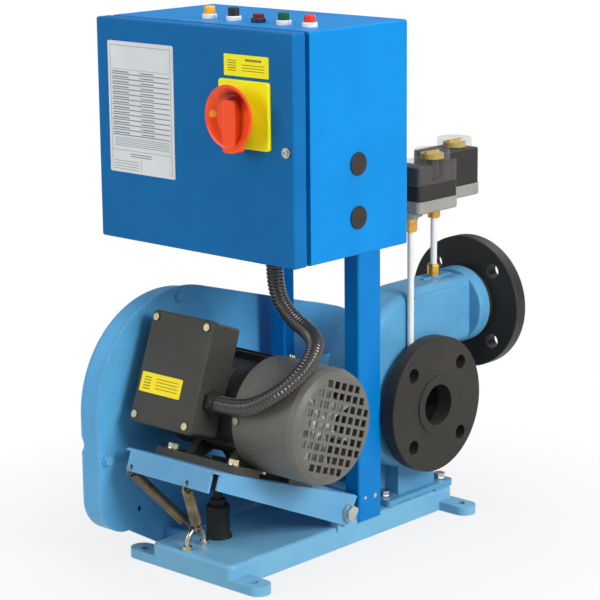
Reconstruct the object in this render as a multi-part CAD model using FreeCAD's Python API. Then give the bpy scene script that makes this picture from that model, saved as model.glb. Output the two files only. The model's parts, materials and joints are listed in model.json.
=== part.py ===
import FreeCAD, Part
import math
import os

V = FreeCAD.Vector
X_AXIS = V(1, 0, 0)
Y_AXIS = V(0, 1, 0)
Z_AXIS = V(0, 0, 1)

# Row frame: base underside centre on the floor, +X to the right along the cabinet front,
# +Y to the rear, +Z up. All sizes are in millimetres and degrees.

# General clearances
MOVE_GAP = 0.5
SEAT_GAP = 0.1
RUN_FIT = 0.05

# Base casting
BASE_W = 130.0
BASE_L = 396.0
BASE_H = 27.0
BASE_WALL = 8.0
BASE_RIB = 6.0
BASE_SKIN = 8.0
BASE_EDGE_R = 5.0
LUG_REACH = 42.0
LUG_W = 28.0
LUG_T = 11.0
LUG_HOLE_R = 6.5
LUG_HOLE_X = 86.0
LUG_Y = BASE_L / 2 - LUG_W / 2

# Platform hinge, carried by two ears of the base
PIVOT_Y = -8.3
PIVOT_Z = 44.3
TILT = 20.0
EAR_IN = 56.0
EAR_OUT = 67.0
EAR_R = 13.0
EAR_JOIN = 36.0
PAD_TOP = 60.0
PIVOT_BOLT_R = 5.0
PIVOT_HEAD = 17.0

# Cabinet posts, folded angle
POST_SHEET = 3.0
POST_FACE_W = 21.5
POST_DEPTH = 38.5
POST_Y = 13.5
POST_BOTTOM = 25.5
POST_TOP = 560.0
POST_BOLT_R = 3.0
POST_OUT = EAR_OUT + SEAT_GAP + POST_SHEET

# Motor platform, folded sheet, sizes in its own level frame from the pivot
WEB_TOP = 21.5
WEB_SHEET = 3.0
WEB_REAR = 10.3
WEB_FRONT = -237.5
FLANGE_GAP = 1.5
PLAT_HALF_W = EAR_OUT + FLANGE_GAP + WEB_SHEET
FRONT_DROP = 25.5
SIDE_DROP_FRONT = 20.8
SIDE_DROP_REAR = 37.5
RELIEF_W = 7.0
RELIEF_H = 20.0

# Motor, a 71 size foot-mounted frame, placed along the platform from the pivot
SHAFT_HEIGHT = 73.8
MOTOR_Y = -141.3
MOTOR_END_X = 141.0
MOTOR_SHOULDER_X = -82.0
BODY_R = 64.8
SHIELD_R = 56.0
BODY_X0 = -62.0
BODY_X1 = 70.0
FIN_COUNT = 28
FIN_H = 8.8
FIN_T = 2.0
COWL_R = 66.5
COWL_SHEET = 1.5
COWL_SCREW_X = 54.0
COWL_SCREWS = (104, 178, 272, 358)
GRILLE_PITCH = 11.8
GRILLE_HOLE = 8.0
GRILLE_R = 53.0
COWL_X0 = 47.0
FOOT_A = 112.0
FOOT_B = 96.0
FOOT_X = 9.0
FOOT_T = 9.0
SHAFT_R = 7.0
STATOR_R = 48.0
STATOR_BORE_R = 28.0
ROTOR_R = 27.5
MOTOR_BEARING_R = 17.5
MOTOR_BEARING_W = 11.0
BOX_X0 = -72.0
BOX_X1 = 22.0
BOX_FACE = 102.0
BOX_DEPTH = 45.0
BOX_Z0 = -42.0
BOX_Z1 = 84.5
BOX_WALL = 3.0
LID_T = 9.0
LID_SEAM_DOWN = 27.0
LID_SEAM_W = 1.0
LID_SEAM_DEEP = 0.7
GLAND_Y = -78.0
GLAND_Z = -2.5

# Belt drive
PULLEY_X = -111.0
BELT_W = 15.0
PULLEY_W = 22.0
MOTOR_PULLEY_R = 100.0
BLOWER_PULLEY_R = 56.0
BELT_T = 3.0
BELT_LIFT = 0.35

# Belt guard
GUARD_FACE_X = -94.0
GUARD_SHEET = 1.5
GUARD_PLATE_T = 3.0
GUARD_DEPTH = 35.0
GUARD_EDGE_R = 10.0
GUARD_PLATE_FRONT = (-114.0, 177.0, 133.0)
GUARD_COVER_FRONT = (-117.0, 176.0, 130.0)
GUARD_REAR_R = 93.0
GUARD_SCREW_IN = 12.0
GUARD_CORNER_R = 40.0
GUARD_BOTTOM_Z = 36.0
NOTCH_R = 10.0
NOTCH_Z = 144.0
BRACKET_FRONT_Y = -198.0
BRACKET_REAR_Y = 165.0
BRACKET_SHEET = 3.0

# Blower
BLOWER_Y = 132.0
BLOWER_Z = 149.0
SCROLL_X0 = 6.0
SCROLL_X1 = 64.0
SCROLL_RADII = (112.0, 108.0, 98.0, 92.0)
SCROLL_RISE = 26.0
TONGUE_ANGLE = 32.0
SCROLL_ANGLES = ((90, 180), (180, 270), (270, 360), (0, TONGUE_ANGLE))
COVER_R = 68.0
SCROLL_WALL = 8.0
PANEL_T = 3.5
SCROLL_EDGE_R = 12.0
EYE_R = 30.0
OUTLET_X = 35.0
OUTLET_Z = 246.0
DUCT_HALF_W = 29.0
DUCT_HALF_H = 41.0
DUCT_Y0 = 132.0
DUCT_Y1 = 228.0
COLLAR_R = 47.0
COLLAR_T = 20.0
BLOWER_SHAFT_R = 10.0
IMPELLER_R = 68.0
IMPELLER_X0 = 20.0
IMPELLER_W = 28.0
BLADES = 12
HOUSING_R = 34.0
HOUSING_X0 = -84.0
HOUSING_NOSE_R = 26.0
BEARING_R = 23.5
BEARING_W = 14.0
FOOT_PLATE_T = 8.0
FOOT_Y0 = 75.0
FOOT_Y1 = 197.0
SEAL_R = 17.0

# DN50 pipe flanges
FLANGE_R = 82.5
FLANGE_T = 18.0
FLANGE_BORE_R = 25.0
FLANGE_PCD = 125.0
FLANGE_HOLE_R = 9.0
HUB_R = 35.0
HUB_H = 1.5
INLET_FACE_X = 92.0
OUTLET_NECK = 6.0

# Control cabinet
CAB_W = 300.0
CAB_H = 250.0
CAB_Z = 374.0
CAB_BACK_Y = 4.0
CAB_FRONT_Y = -155.0
CAB_SHEET = 1.5
CAB_EDGE_R = 3.0
LIP_H = 9.0
LIP_IN = 8.0
DOOR_T = 19.0
DOOR_GAP = 7.0
DOOR_EDGE_R = 4.0
DOOR_BACK_Y = CAB_FRONT_Y - DOOR_GAP
DOOR_FRONT_Y = DOOR_BACK_Y - DOOR_T
HINGE_X = -CAB_W / 2 + 3.0
HINGE_Y = CAB_FRONT_Y - DOOR_GAP / 2
HINGE_R = 2.6
HINGE_PIN_R = 1.5
HINGE_L = 30.0
HINGE_HEIGHTS = (CAB_Z + 45.0, CAB_Z + CAB_H - 45.0)
PLATE_T = 2.0
PLATE_STAND = 14.0

# Door fittings
ISOLATOR_X = 81.5
ISOLATOR_Z = 534.0
ISOLATOR_PLATE = 73.0
ISOLATOR_PLATE_T = 4.0
HANDLE_R = 34.5
HANDLE_H = 23.0
HANDLE_SHAFT_R = 4.0
RATING_X = (-131.0, -27.0)
RATING_Z = (451.5, 599.0)
LABEL_X = (51.0, 116.0)
LABEL_Z = (574.0, 597.0)
LABEL_T = 0.6
LOCK_X = 140.7
LOCK_Z = 498.8
LOCK_R = 5.6
LOCK_CORE_R = 3.6

# Cabinet top fittings, left to right
TOP_Y = -118.0
TOP_PITCH = 37.4
TOP_X0 = -32.5
BEZEL_R = 8.4
BEZEL_H = 5.0
BUTTON_R = 6.3
BUTTON_TRAVEL = 4.0
PANEL_HOLE_R = 7.0
PLUG_R = 13.0
PLUG_Y = -78.5
PLUG_Z = (416.0, 475.0)

# Springs, buffer and U-bolt at the platform front
UBOLT_X = -12.0
UBOLT_Y = -177.0
UBOLT_HALF = 13.0
UBOLT_ROD_R = 3.0
UBOLT_LEG = 9.0
SPRING_X = (31.0, -58.0)
SPRING_R = 6.5
SPRING_WIRE = 1.0
SPRING_RINGS = 11
SPRING_HOOK_R = 5.5
UBOLT_LOOP_Y = 3.5
SPRING_NECK = 14.5
BUFFER_X = -19.0
BUFFER_Y = -133.0
BUFFER_R = 14.0
BUFFER_H = 39.0
BUFFER_PAD_R = 10.0
BUFFER_GAP = 4.0

# Pressure switches on rigid sensing tubes
SWITCH_PLACES = ((69.0, 109.0), (35.0, 194.0))
SWITCH_W = 50.0
SWITCH_L = 74.0
SWITCH_SETBACK = 23.0
SWITCH_Z = 380.0
SWITCH_BASE_H = 20.0
SWITCH_BODY_H = 19.0
SWITCH_COVER_H = 24.0
SWITCH_DIAL_R = 14.0
SWITCH_DIAL_H = 6.0
SWITCH_CAP_R = 18.0
SWITCH_CAP_H = 15.0
SWITCH_DIAL_SHIFT = 16.0
TUBE_R = 4.0
FITTING_R = 7.0
FITTING_H = 14.0

# Flexible conduit from the cabinet gland to the motor gland
CONDUIT_R = 10.0
CONDUIT_START_X = 35.0
CONDUIT_ROUTE = (
    (96.7, -183.0, 217.0),
    (121.5, -168.0, 235.5),
    (130.0, -142.0, 256.0),
    (119.5, -114.0, 272.5),
    (94.1, -93.5, 279.7),
    (61.0, -90.6, 291.4),
    (39.0, -94.0, 318.8),
    (39.0, -94.0, 354.0),
)

# Derived places
PLATFORM_ANGLE = -TILT
MOTOR_Z = WEB_TOP + SHAFT_HEIGHT
TOP_Z = CAB_Z + CAB_H
PULLEY_X0 = PULLEY_X - PULLEY_W / 2
PULLEY_X1 = PULLEY_X + PULLEY_W / 2
GUARD_OUT_X = GUARD_FACE_X - GUARD_DEPTH
SWITCH_COVER_Z = SWITCH_Z + SWITCH_BASE_H + SWITCH_BODY_H
SWITCH_DIAL_Z = SWITCH_COVER_Z + SWITCH_COVER_H
LID_FACE_Y = MOTOR_Y - BOX_FACE
BOSS_TOP_B = OUTLET_Z + DUCT_HALF_H + 3.0
TUBE_SEATS = (BLOWER_Z + COVER_R - 2.0, BOSS_TOP_B)


def box(x0, x1, y0, y1, z0, z1):
    return Part.makeBox(x1 - x0, y1 - y0, z1 - z0, V(x0, y0, z0))


def rod(start, end, radius):
    axis = V(*end) - V(*start)
    return Part.makeCylinder(radius, axis.Length, V(*start), axis)


def pipe(start, end, outer, inner):
    return rod(start, end, outer).cut(rod(start, end, inner))


def hexagon(start, end, flats):
    axis = V(*end) - V(*start)
    radius = flats / math.sqrt(3)
    corners = [V(radius * math.cos(math.radians(60 * i)), radius * math.sin(math.radians(60 * i)), 0)
               for i in range(7)]
    solid = Part.Face(Part.makePolygon(corners)).extrude(V(0, 0, axis.Length))
    solid.Placement = FreeCAD.Placement(V(*start), FreeCAD.Rotation(Z_AXIS, axis))
    return solid


def round_box(x0, x1, y0, y1, z0, z1, radius, direction):
    """A box whose four edges along one direction are rounded."""
    solid = box(x0, x1, y0, y1, z0, z1)
    edges = [e for e in solid.Edges if abs(e.tangentAt(e.FirstParameter).dot(direction)) > 0.99]
    return solid.makeFillet(radius, edges)


def revolve_x(points, y, z):
    """Turn an (x, radius) outline about a line along X."""
    corners = [V(x, y, z + radius) for x, radius in points]
    wire = Part.makePolygon(corners + corners[:1])
    return Part.Face(wire).revolve(V(0, y, z), X_AXIS, 360)


def prism_x(outline, x0, x1):
    """Extrude a closed (y, z) outline along X."""
    corners = [V(x0, y, z) for y, z in outline]
    return Part.Face(Part.makePolygon(corners + corners[:1])).extrude(V(x1 - x0, 0, 0))


def fuse(shapes):
    return shapes[0].multiFuse(shapes[1:]).removeSplitter()


def tilted(shape):
    """Carry a shape from the platform's level frame to its place on the hinge."""
    moved = shape.copy()
    moved.translate(V(0, PIVOT_Y, PIVOT_Z))
    moved.rotate(V(0, PIVOT_Y, PIVOT_Z), X_AXIS, PLATFORM_ANGLE)
    return moved


def level_point(y, z):
    """World y and z of a point given in the platform's level frame."""
    angle = math.radians(PLATFORM_ANGLE)
    return (PIVOT_Y + y * math.cos(angle) - z * math.sin(angle),
            PIVOT_Z + y * math.sin(angle) + z * math.cos(angle))


def circle_hull(circles, x0, x1):
    """Extrude the outline stretched round circles given as (y, z, radius) in turning order."""
    tangents = []
    for here, there in zip(circles, circles[1:] + circles[:1]):
        step = V(0, there[0] - here[0], there[1] - here[1])
        along = V(step).normalize()
        right = V(0, along.z, -along.y)
        lean = (here[2] - there[2]) / step.Length
        normal = right * math.sqrt(1 - lean * lean) + along * lean
        tangents.append(normal)
    edges = []
    for i, (y, z, radius) in enumerate(circles):
        start = math.atan2(tangents[i - 1].z, tangents[i - 1].y)
        end = math.atan2(tangents[i].z, tangents[i].y)
        if end < start:
            end += 2 * math.pi
        spots = [V(x0, y + radius * math.cos(a), z + radius * math.sin(a))
                 for a in (start, (start + end) / 2, end)]
        edges.append(Part.Arc(*spots).toShape())
        following = circles[(i + 1) % len(circles)]
        landing = V(x0, following[0], following[1]) + tangents[i] * following[2]
        edges.append(Part.LineSegment(spots[2], landing).toShape())
    return Part.Face(Part.Wire(edges)).extrude(V(x1 - x0, 0, 0))


def gather(compounds):
    return Part.makeCompound([solid for compound in compounds for solid in compound.Solids])


def outline_edges(solid, x):
    """Edges of a prism along X that lie in the plane at x."""
    return [e for e in solid.Edges
            if abs(e.BoundBox.XMin - x) < 1e-4 and abs(e.BoundBox.XMax - x) < 1e-4]


def base_plate():
    half_w = BASE_W / 2
    half_l = BASE_L / 2
    body = round_box(-half_w, half_w, -half_l, half_l, 0, BASE_H, 2 * BASE_EDGE_R, Z_AXIS)
    rim = [e for e in body.Edges if e.BoundBox.ZMin > BASE_H - 0.01]
    body = body.makeFillet(BASE_EDGE_R, rim)
    lugs = []
    for sx in (-1, 1):
        for sy in (-1, 1):
            near = sx * (half_w - BASE_WALL)
            far = sx * (half_w + LUG_REACH - LUG_W / 2)
            lug = box(min(near, far), max(near, far), sy * LUG_Y - LUG_W / 2, sy * LUG_Y + LUG_W / 2,
                      0, LUG_T)
            lugs.append(lug)
            lugs.append(rod((far, sy * LUG_Y, 0), (far, sy * LUG_Y, LUG_T), LUG_W / 2))
    ears = []
    for sx in (-1, 1):
        x0 = min(sx * EAR_IN, sx * EAR_OUT)
        x1 = max(sx * EAR_IN, sx * EAR_OUT)
        foot = BASE_H - BASE_EDGE_R
        ears.append(prism_x([(PIVOT_Y - EAR_R, foot), (PIVOT_Y + EAR_R, foot),
                             (PIVOT_Y + EAR_R, PIVOT_Z), (PIVOT_Y - EAR_R, PIVOT_Z)], x0, x1))
        ears.append(rod((x0, PIVOT_Y, PIVOT_Z), (x1, PIVOT_Y, PIVOT_Z), EAR_R))
        pad_y = POST_Y + POST_SHEET + SEAT_GAP
        ears.append(box(x0, x1, pad_y, POST_Y + POST_DEPTH, foot, PAD_TOP))
        ears.append(box(x0, x1, PIVOT_Y, pad_y + 1, foot, EAR_JOIN))
    casting = fuse([body] + lugs + ears)
    cols = 2
    rows = 7
    cell_w = (BASE_W - 2 * BASE_WALL - (cols - 1) * BASE_RIB) / cols
    cell_l = (BASE_L - 2 * BASE_WALL - (rows - 1) * BASE_RIB) / rows
    pockets = []
    for i in range(cols):
        for j in range(rows):
            x = -half_w + BASE_WALL + i * (cell_w + BASE_RIB)
            y = -half_l + BASE_WALL + j * (cell_l + BASE_RIB)
            pockets.append(box(x, x + cell_w, y, y + cell_l, -1, BASE_H - BASE_SKIN))
    holes = []
    for sx in (-1, 1):
        for sy in (-1, 1):
            spot = (sx * LUG_HOLE_X, sy * LUG_Y)
            holes.append(rod((*spot, -1), (*spot, LUG_T + 1), LUG_HOLE_R))
        holes.append(rod((sx * (EAR_IN - 1), PIVOT_Y, PIVOT_Z), (sx * (EAR_OUT + 1), PIVOT_Y, PIVOT_Z),
                         PIVOT_BOLT_R + SEAT_GAP))
        for y, z in post_bolt_spots():
            holes.append(rod((sx * (EAR_IN - 1), y, z), (sx * (EAR_OUT + 1), y, z), POST_BOLT_R + SEAT_GAP))
    return casting.cut(Part.makeCompound(pockets + holes))


def post_bolt_spots():
    middle = POST_Y + POST_SHEET + (POST_DEPTH - POST_SHEET) / 2
    return ((middle - 9, PIVOT_Z + 8), (middle + 9, PIVOT_Z + 8))


def post(side):
    """Folded angle post; side is +1 for the right one."""
    outer = side * POST_OUT
    inner = side * (POST_OUT - POST_SHEET)
    face_end = side * (POST_OUT - POST_FACE_W)
    web = box(min(outer, inner), max(outer, inner), POST_Y, POST_Y + POST_DEPTH, POST_BOTTOM, POST_TOP)
    face = box(min(outer, face_end), max(outer, face_end), POST_Y, POST_Y + POST_SHEET,
               EAR_JOIN + SEAT_GAP, POST_TOP)
    angle = fuse([web, face])
    fold = [e for e in angle.Edges if e.Length > POST_TOP / 2
            and abs(e.BoundBox.YMin - POST_Y) < 0.01 and abs(abs(e.BoundBox.XMin) - POST_OUT) < 0.01]
    angle = angle.makeFillet(POST_SHEET * 0.9, fold)
    holes = [rod((inner - 5, y, z), (outer + 5, y, z), POST_BOLT_R + SEAT_GAP)
             for y, z in post_bolt_spots()]
    if side < 0:
        holes = [rod((outer - 5, y, z), (inner + 5, y, z), POST_BOLT_R + SEAT_GAP)
                 for y, z in post_bolt_spots()]
    return angle.cut(Part.makeCompound(holes))


def post_bolts():
    """Screws through each ear into the post, heads on the ear's inner side."""
    bolts = []
    for side in (-1, 1):
        for y, z in post_bolt_spots():
            shank = rod((side * (EAR_IN - 3), y, z), (side * (POST_OUT - 0.4), y, z), POST_BOLT_R)
            head = hexagon((side * (EAR_IN - 4.5), y, z), (side * (EAR_IN - SEAT_GAP), y, z), 10.0)
            bolts.append(fuse([shank, head]))
    return Part.makeCompound(bolts)


def pivot_bolts():
    """Shoulder bolts that the platform flanges turn on."""
    bolts = []
    for side in (-1, 1):
        washer_in = PLAT_HALF_W + MOVE_GAP
        parts = [rod((side * (EAR_IN - 9), PIVOT_Y, PIVOT_Z), (side * (washer_in + 1), PIVOT_Y, PIVOT_Z),
                     PIVOT_BOLT_R),
                 rod((side * washer_in, PIVOT_Y, PIVOT_Z), (side * (washer_in + 2), PIVOT_Y, PIVOT_Z), 10.0),
                 hexagon((side * (washer_in + 2), PIVOT_Y, PIVOT_Z),
                         (side * (washer_in + 8.4), PIVOT_Y, PIVOT_Z), PIVOT_HEAD),
                 hexagon((side * (EAR_IN - 8), PIVOT_Y, PIVOT_Z),
                         (side * (EAR_IN - SEAT_GAP), PIVOT_Y, PIVOT_Z), PIVOT_HEAD)]
        bolts.append(fuse(parts))
    return Part.makeCompound(bolts)


def motor_platform():
    """Folded sheet: a web, a front flange and two tapered side flanges with corner reliefs."""
    w = PLAT_HALF_W
    web = box(-w, w, WEB_FRONT, WEB_REAR, WEB_TOP - WEB_SHEET, WEB_TOP)
    front = box(-w + RELIEF_W, w - RELIEF_W, WEB_FRONT, WEB_FRONT + WEB_SHEET,
                WEB_TOP - FRONT_DROP, WEB_TOP)
    sides = []
    for side in (-1, 1):
        x0 = min(side * w, side * (w - WEB_SHEET))
        x1 = max(side * w, side * (w - WEB_SHEET))
        start = WEB_FRONT + RELIEF_W
        sides.append(prism_x([(start, WEB_TOP - SIDE_DROP_FRONT), (WEB_REAR - 6.5, WEB_TOP - SIDE_DROP_REAR),
                              (WEB_REAR, WEB_TOP), (start, WEB_TOP)], x0, x1))
    sheet = fuse([web, front] + sides)
    folds = [e for e in sheet.Edges if abs(e.BoundBox.ZMin - WEB_TOP) < 0.01
             and abs(e.BoundBox.ZMax - WEB_TOP) < 0.01 and e.Length > 100]
    outer = [e for e in folds if abs(e.BoundBox.XMin + w) < 0.01 or abs(e.BoundBox.XMax - w) < 0.01
             or abs(e.BoundBox.YMax - WEB_FRONT) < 0.01]
    sheet = sheet.makeFillet(WEB_SHEET * 0.8, outer)
    cuts = []
    for side in (-1, 1):
        x = side * (w - RELIEF_W / 2)
        low = WEB_TOP - FRONT_DROP - 1
        top = WEB_TOP - WEB_SHEET - 1
        cuts.append(box(x - RELIEF_W / 2, x + RELIEF_W / 2, WEB_FRONT - 1, WEB_FRONT + RELIEF_W,
                        low, WEB_TOP - FRONT_DROP + RELIEF_H))
        cuts.append(rod((side * (w - 9), 0, 0), (side * (w + 9), 0, 0), PIVOT_BOLT_R + RUN_FIT))
    for x in (FOOT_X - FOOT_B / 2, FOOT_X + FOOT_B / 2):
        for y in (MOTOR_Y - FOOT_A / 2, MOTOR_Y + FOOT_A / 2):
            cuts.append(rod((x, y, WEB_TOP - 9), (x, y, WEB_TOP + 9), 3.6))
    for x in SPRING_X:
        cuts.append(rod((x, WEB_FRONT - 1, spring_hole_z()), (x, WEB_FRONT + 9, spring_hole_z()), 2.6))
    return tilted(sheet.cut(Part.makeCompound(cuts)))


def spring_hole_z():
    return WEB_TOP - FRONT_DROP + 5.5


def motor_feet():
    """Two rails along X under the body with four foot pads."""
    pieces = []
    for sy in (-1, 1):
        y = MOTOR_Y + sy * FOOT_A / 2
        inner = MOTOR_Y + sy * (FOOT_A / 2 - 30)
        outer = MOTOR_Y + sy * (FOOT_A / 2 + 12)
        pieces.append(box(FOOT_X - FOOT_B / 2 - 14, FOOT_X + FOOT_B / 2 + 14, min(inner, outer),
                          max(inner, outer), WEB_TOP + SEAT_GAP, WEB_TOP + FOOT_T))
        for x in (FOOT_X - FOOT_B / 3, FOOT_X + FOOT_B / 3):
            pieces.append(prism_x([(inner, WEB_TOP + FOOT_T - 1), (y - sy * 9, WEB_TOP + FOOT_T - 1),
                                   (MOTOR_Y + sy * 34, MOTOR_Z - BODY_R * 0.7),
                                   (MOTOR_Y + sy * 12, MOTOR_Z - BODY_R * 0.85)], x - 5, x + 5))
    return pieces


def motor_frame():
    """Finned stator frame with feet and the pad that the terminal box sits on."""
    barrel = rod((BODY_X0, MOTOR_Y, MOTOR_Z), (BODY_X1, MOTOR_Y, MOTOR_Z), BODY_R - FIN_H)
    fins = []
    for i in range(FIN_COUNT):
        angle = 360.0 * (i + 0.5) / FIN_COUNT
        facing_box = 180 - 62 < angle < 180 + 40
        facing_foot = 270 - 38 < angle < 270 + 38
        if facing_box or facing_foot:
            continue
        fin = box(BODY_X0 + 2, BODY_X1 - 8, BODY_R - FIN_H - 2, BODY_R, -FIN_T / 2, FIN_T / 2)
        fin.rotate(V(0, 0, 0), X_AXIS, angle)
        fin.translate(V(0, MOTOR_Y, MOTOR_Z))
        fins.append(fin)
    pad = box(BODY_X0 + 2, BOX_X1 - 8, LID_FACE_Y + BOX_DEPTH + SEAT_GAP, MOTOR_Y - 20,
              MOTOR_Z + BOX_Z0 + 8, MOTOR_Z + 40)
    shell = fuse([barrel, pad] + motor_feet() + fins)
    cuts = [rod((BODY_X0 - 1, MOTOR_Y, MOTOR_Z), (BODY_X1 + 1, MOTOR_Y, MOTOR_Z), STATOR_R)]
    for x in (FOOT_X - FOOT_B / 2, FOOT_X + FOOT_B / 2):
        for sy in (-1, 1):
            y = MOTOR_Y + sy * FOOT_A / 2
            cuts.append(rod((x, y, WEB_TOP - 1), (x, y, WEB_TOP + FOOT_T + 1), 3.6))
    return tilted(shell.cut(Part.makeCompound(cuts)))


def stator_core():
    """Laminated core with end windings, pressed in the frame."""
    core = pipe((-38, MOTOR_Y, MOTOR_Z), (42, MOTOR_Y, MOTOR_Z), STATOR_R - SEAT_GAP, STATOR_BORE_R)
    windings = [pipe((x, MOTOR_Y, MOTOR_Z), (x + 16, MOTOR_Y, MOTOR_Z), STATOR_R - 5, STATOR_BORE_R + 3)
                for x in (-54, 42)]
    return tilted(fuse([core] + windings))


def end_shields():
    """Cast drive-end and fan-end shields, each with a bearing seat."""
    drive = revolve_x([(MOTOR_SHOULDER_X, SHAFT_R + 1), (MOTOR_SHOULDER_X, 24), (MOTOR_SHOULDER_X + 6, 28),
                       (BODY_X0 - 10, BODY_R - 9), (BODY_X0 - 8, SHIELD_R), (BODY_X0 - SEAT_GAP, SHIELD_R),
                       (BODY_X0 - SEAT_GAP, STATOR_R - 6), (BODY_X0 - 6, MOTOR_BEARING_R + 6),
                       (BODY_X0 - 6, MOTOR_BEARING_R + SEAT_GAP),
                       (MOTOR_SHOULDER_X + 3, MOTOR_BEARING_R + SEAT_GAP),
                       (MOTOR_SHOULDER_X + 3, SHAFT_R + 1)], MOTOR_Y, MOTOR_Z)
    fan = revolve_x([(BODY_X1 + SEAT_GAP, STATOR_R - 6), (BODY_X1 + SEAT_GAP, SHIELD_R),
                     (BODY_X1 + 8, SHIELD_R), (BODY_X1 + 13, 28), (BODY_X1 + 20, 24),
                     (BODY_X1 + 20, SHAFT_R + 1), (BODY_X1 + 17, SHAFT_R + 1),
                     (BODY_X1 + 17, MOTOR_BEARING_R + SEAT_GAP), (BODY_X1 + 3, MOTOR_BEARING_R + SEAT_GAP),
                     (BODY_X1 + 3, MOTOR_BEARING_R + 6)], MOTOR_Y, MOTOR_Z)
    return Part.makeCompound([tilted(drive), tilted(fan)])


def motor_bearings():
    rings = []
    for x in (MOTOR_SHOULDER_X + 3.5, BODY_X1 + 4.5):
        rings.append(pipe((x, MOTOR_Y, MOTOR_Z), (x + MOTOR_BEARING_W, MOTOR_Y, MOTOR_Z),
                          MOTOR_BEARING_R, SHAFT_R + RUN_FIT))
    return tilted(Part.makeCompound(rings))


def fan_cowl():
    """Pressed cowl with a domed rim and a square-hole grille in its end."""
    profile = [(COWL_X0, COWL_R), (MOTOR_END_X - 12, COWL_R), (MOTOR_END_X - 5, COWL_R - 2.5),
               (MOTOR_END_X - 1, COWL_R - 8), (MOTOR_END_X, COWL_R - 14), (MOTOR_END_X, 0.0),
               (MOTOR_END_X - COWL_SHEET, 0.0), (MOTOR_END_X - COWL_SHEET, COWL_R - 14.4),
               (MOTOR_END_X - 2.4, COWL_R - 9), (MOTOR_END_X - 6, COWL_R - 4),
               (MOTOR_END_X - 12.4, COWL_R - COWL_SHEET), (COWL_X0, COWL_R - COWL_SHEET)]
    cowl = revolve_x(profile, MOTOR_Y, MOTOR_Z)
    holes = []
    for i in range(-5, 6):
        for j in range(-5, 6):
            y = i * GRILLE_PITCH
            z = j * GRILLE_PITCH
            if math.hypot(y, z) < GRILLE_R:
                holes.append(box(MOTOR_END_X - 4, MOTOR_END_X + 1, MOTOR_Y + y - GRILLE_HOLE / 2,
                                 MOTOR_Y + y + GRILLE_HOLE / 2, MOTOR_Z + z - GRILLE_HOLE / 2,
                                 MOTOR_Z + z + GRILLE_HOLE / 2))
    for angle in COWL_SCREWS:
        hole = rod((COWL_SCREW_X, 0, COWL_R - 5), (COWL_SCREW_X, 0, COWL_R + 5), 2.3)
        hole.rotate(V(0, 0, 0), X_AXIS, angle)
        hole.translate(V(0, MOTOR_Y, MOTOR_Z))
        holes.append(hole)
    return tilted(cowl.cut(Part.makeCompound(holes)))


def cowl_screws():
    screws = []
    for angle in COWL_SCREWS:
        screw = rod((COWL_SCREW_X, 0, COWL_R - 2.9), (COWL_SCREW_X, 0, COWL_R + 1.8), 2.2)
        head = rod((COWL_SCREW_X, 0, COWL_R + SEAT_GAP), (COWL_SCREW_X, 0, COWL_R + 2.6), 4.0)
        both = fuse([screw, head])
        both.rotate(V(0, 0, 0), X_AXIS, angle)
        both.translate(V(0, MOTOR_Y, MOTOR_Z))
        screws.append(both)
    return tilted(Part.makeCompound(screws))


def motor_fan():
    """Cooling fan with straight radial blades on a hub and back disc."""
    x0 = BODY_X1 + 26
    hub = pipe((x0, MOTOR_Y, MOTOR_Z), (x0 + 22, MOTOR_Y, MOTOR_Z), 13.0, SHAFT_R)
    disc = pipe((x0, MOTOR_Y, MOTOR_Z), (x0 + 2, MOTOR_Y, MOTOR_Z), 50.0, 10.0)
    blades = []
    for i in range(7):
        blade = box(x0 + 1, x0 + 28, -1.2, 1.2, 11, 50)
        blade.rotate(V(0, 0, 0), X_AXIS, 360.0 * i / 7)
        blade.translate(V(0, MOTOR_Y, MOTOR_Z))
        blades.append(blade)
    return tilted(fuse([hub, disc] + blades))


def rotor_shaft():
    """Squirrel-cage rotor on its shaft, stepped for bearings, fan and pulley."""
    core = rod((-38, MOTOR_Y, MOTOR_Z), (42, MOTOR_Y, MOTOR_Z), ROTOR_R)
    rings = [rod((x, MOTOR_Y, MOTOR_Z), (x + 6, MOTOR_Y, MOTOR_Z), ROTOR_R - 4) for x in (-44, 42)]
    shaft = rod((PULLEY_X0 - 1, MOTOR_Y, MOTOR_Z), (BODY_X1 + 50, MOTOR_Y, MOTOR_Z), SHAFT_R)
    return tilted(fuse([core, shaft] + rings))


def pulley(y, z, radius, bore):
    """Flat-belt pulley with a crowned rim, a thin web and a hub."""
    rim = [(PULLEY_X0, radius - 7), (PULLEY_X0, radius + 2.5), (PULLEY_X0 + 1.8, radius + 2.5),
           (PULLEY_X0 + 2.4, radius), (PULLEY_X1 - 2.4, radius), (PULLEY_X1 - 1.8, radius + 2.5),
           (PULLEY_X1, radius + 2.5), (PULLEY_X1, radius - 7), (PULLEY_X + 3.5, radius - 9),
           (PULLEY_X + 3.5, bore + 14), (PULLEY_X1, bore + 12), (PULLEY_X1, bore), (PULLEY_X0, bore),
           (PULLEY_X0, bore + 12), (PULLEY_X - 3.5, bore + 14), (PULLEY_X - 3.5, radius - 9)]
    return revolve_x(rim, y, z)


def motor_pulley():
    wheel = pulley(MOTOR_Y, MOTOR_Z, MOTOR_PULLEY_R, SHAFT_R)
    middle = (MOTOR_PULLEY_R + SHAFT_R) / 2 + 3
    holes = []
    for i in range(6):
        angle = math.radians(60 * i + 30)
        y = MOTOR_Y + middle * math.cos(angle)
        z = MOTOR_Z + middle * math.sin(angle)
        holes.append(rod((PULLEY_X0 - 1, y, z), (PULLEY_X1 + 1, y, z), 15.0))
    return tilted(wheel.cut(Part.makeCompound(holes)))


def blower_pulley():
    return pulley(BLOWER_Y, BLOWER_Z, BLOWER_PULLEY_R, BLOWER_SHAFT_R)


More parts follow.
